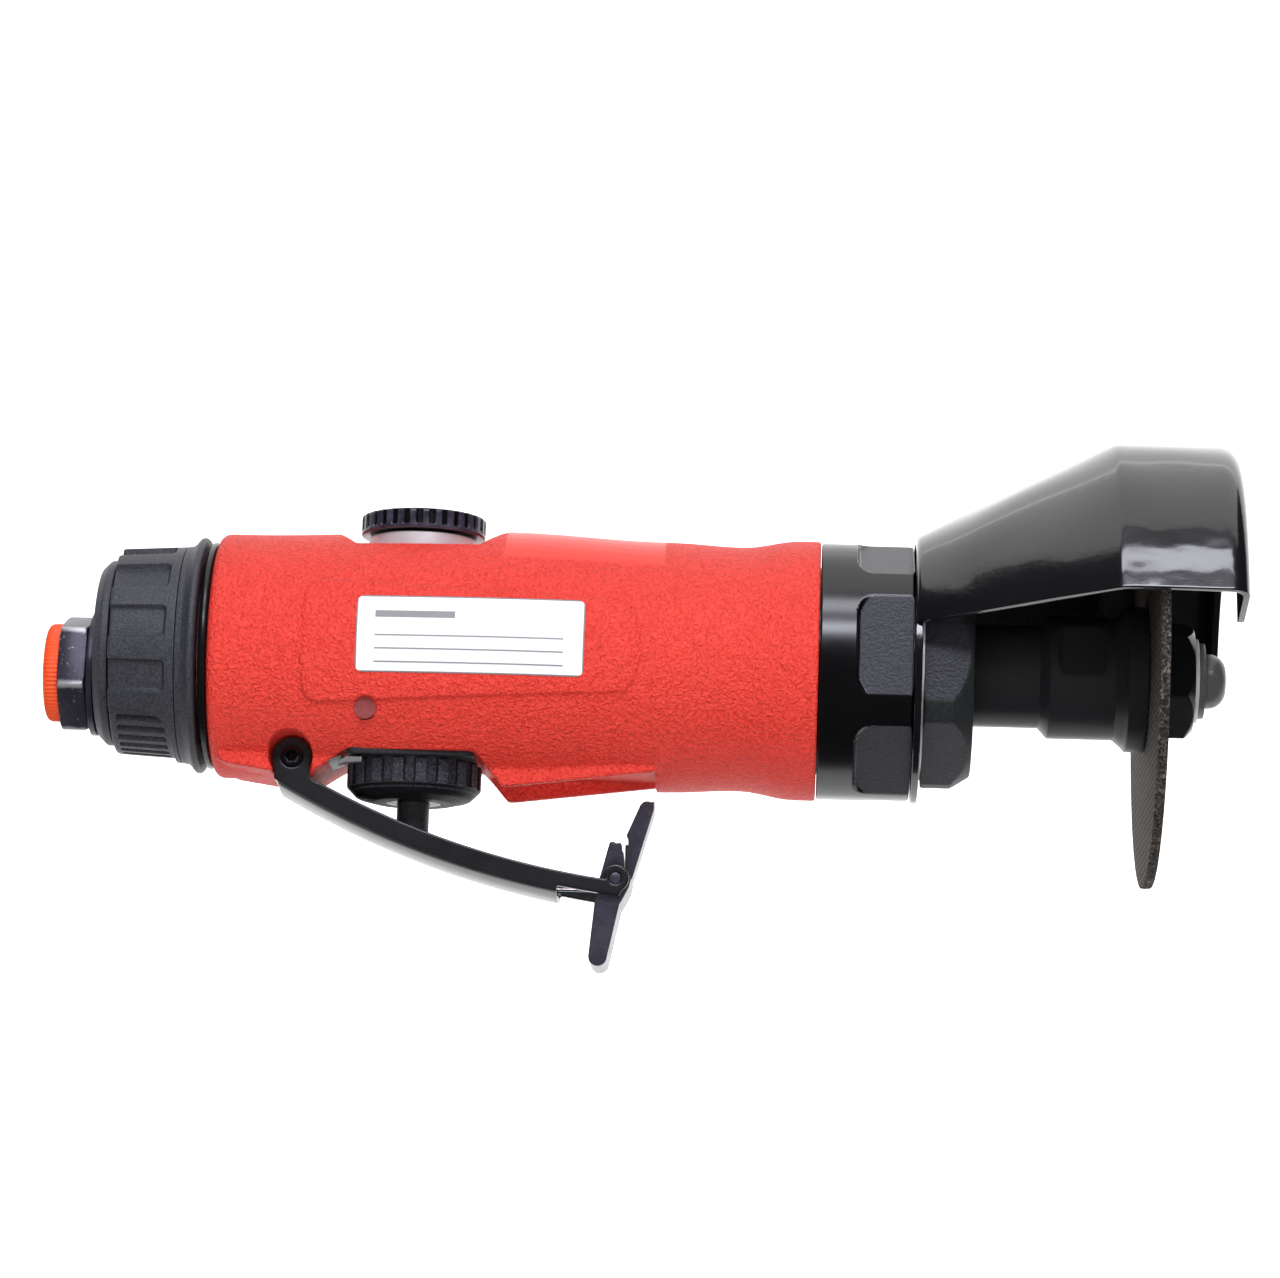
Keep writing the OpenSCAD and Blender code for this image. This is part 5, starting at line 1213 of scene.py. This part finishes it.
def swept(name, path):  # a sheet across the stage along a path of y, z points
    bm = bmesh.new()
    edge = bm.edges.new([bm.verts.new((side * stageLook["half"], *path[0])) for side in (-1, 1)])
    for here, ahead in zip(path, path[1:]):
        grown = bmesh.ops.extrude_edge_only(bm, edges=[edge])["geom"]
        shift = Vector((0, *ahead)) - Vector((0, *here))
        bmesh.ops.translate(bm, vec=shift, verts=[v for v in grown if isinstance(v, bmesh.types.BMVert)])
        edge = [e for e in grown if isinstance(e, bmesh.types.BMEdge)
                and all((Vector((0, *ahead)) - Vector((0, *v.co.yz))).length < 1e-5 for v in e.verts)][0]
    bmesh.ops.recalc_face_normals(bm, faces=bm.faces)
    return linked(name, meshOf(name, bm))


def whiteSweep():
    look = stageLook
    floor, wall = look["floor"], look["wall"]
    paint = Finish("sweepPaint", {"Base Color": (look["white"],) * 3 + (1,), "Roughness": look["white"],
                                  "Emission Strength": look["glow"]})
    lit = paint.axes()[2].ramp(*(floor + rise for rise in look["glowRise"]))
    paint.feed("Emission Color", paint.mix(lit, (look["floorGlow"],) * 3 + (1,), (1, 1, 1, 1)))
    sheet = swept("whiteSweep", [(look["front"], floor), (wall, floor), (wall, floor + look["top"])])
    sheet.data.materials.append(paint.material)


def paleDome():  # a pale surround for views from behind, which gives no light or reflection
    bm = bmesh.new()
    bmesh.ops.create_icosphere(bm, subdivisions=4, radius=stageLook["dome"])
    bmesh.ops.reverse_faces(bm, faces=bm.faces)
    dome = linked("paleDome", meshOf("paleDome", bm))
    paint = Finish("domePaint", {"Base Color": (0, 0, 0, 1), "Roughness": 1, "Specular IOR Level": 0,
                                 "Emission Color": (1, 1, 1, 1), "Emission Strength": 1})
    dome.data.materials.append(paint.material)
    dome.visible_diffuse = dome.visible_glossy = dome.visible_shadow = dome.visible_transmission = False


whiteSweep()
paleDome()
world = bpy.data.worlds.new("studio")
scene.world = world
world.use_nodes = True
background = world.node_tree.nodes["Background"]
background.inputs["Color"].default_value = stageLook["air"]
background.inputs["Strength"].default_value = stageLook["world"]
scene.view_settings.view_transform = "Standard"

softboxes = {
    "topBox": {"place": (0.1, 0.05, 0.8), "size": (1.2, 0.8), "power": 3, "colour": (1, 1, 1),
               "shine": True},
    "keyStrip": {"place": (0.14, -0.77, 0.46), "size": (0.7, 0.14), "power": 3.2, "colour": (0.88, 0.89, 1),
                 "shine": True},
    "upperStrip": {"place": (0.1, -0.55, 0.71), "size": (0.7, 0.2), "power": 2.6, "colour": (0.9, 0.91, 1),
                   "shine": True},
    "frontFill": {"place": (0.1, -1.0, 0.05), "size": (1.4, 0.9), "power": 5.2, "colour": (1, 1, 1),
                  "shine": False},
    "lowFill": {"place": (0.1, -0.8, -0.6), "size": (1.2, 0.6), "power": 5.2, "colour": (1, 1, 1),
                "shine": False},
}
lampAim = Vector((0.1, 0, 0))
for name, look in softboxes.items():
    lampData = bpy.data.lights.new(name, "AREA")
    lampData.shape = "RECTANGLE"
    lampData.size, lampData.size_y = look["size"]
    lampData.energy = look["power"]
    lampData.color = look["colour"]
    lamp = linked(name, lampData)
    lamp.location = look["place"]
    lamp.rotation_euler = (lampAim - Vector(look["place"])).to_track_quat("-Z", "Y").to_euler()
    lamp.visible_glossy = look["shine"]

cameraLook = {"eye": (134.492, -894.735, -147.577), "aim": (105.45, 0, 5.19), "roll": 1.786,
              "lens": 139.286, "sensor": 36, "near": 0.01}
cameraData = bpy.data.cameras.new("photoCamera")
cameraData.sensor_width = cameraLook["sensor"]
cameraData.lens = cameraLook["lens"]
cameraData.clip_start = cameraLook["near"]
camera = linked("photoCamera", cameraData)
eye = toRow @ Vector(cameraLook["eye"])
aim = toRow @ Vector(cameraLook["aim"])
camera.location = eye
camera.rotation_mode = "QUATERNION"
facing = (aim - eye).to_track_quat("-Z", "Y").to_matrix()
roll = Matrix.Rotation(math.radians(cameraLook["roll"]), 3, "Z")
camera.rotation_quaternion = (facing @ roll).to_quaternion()
scene.camera = camera
print("camera set")
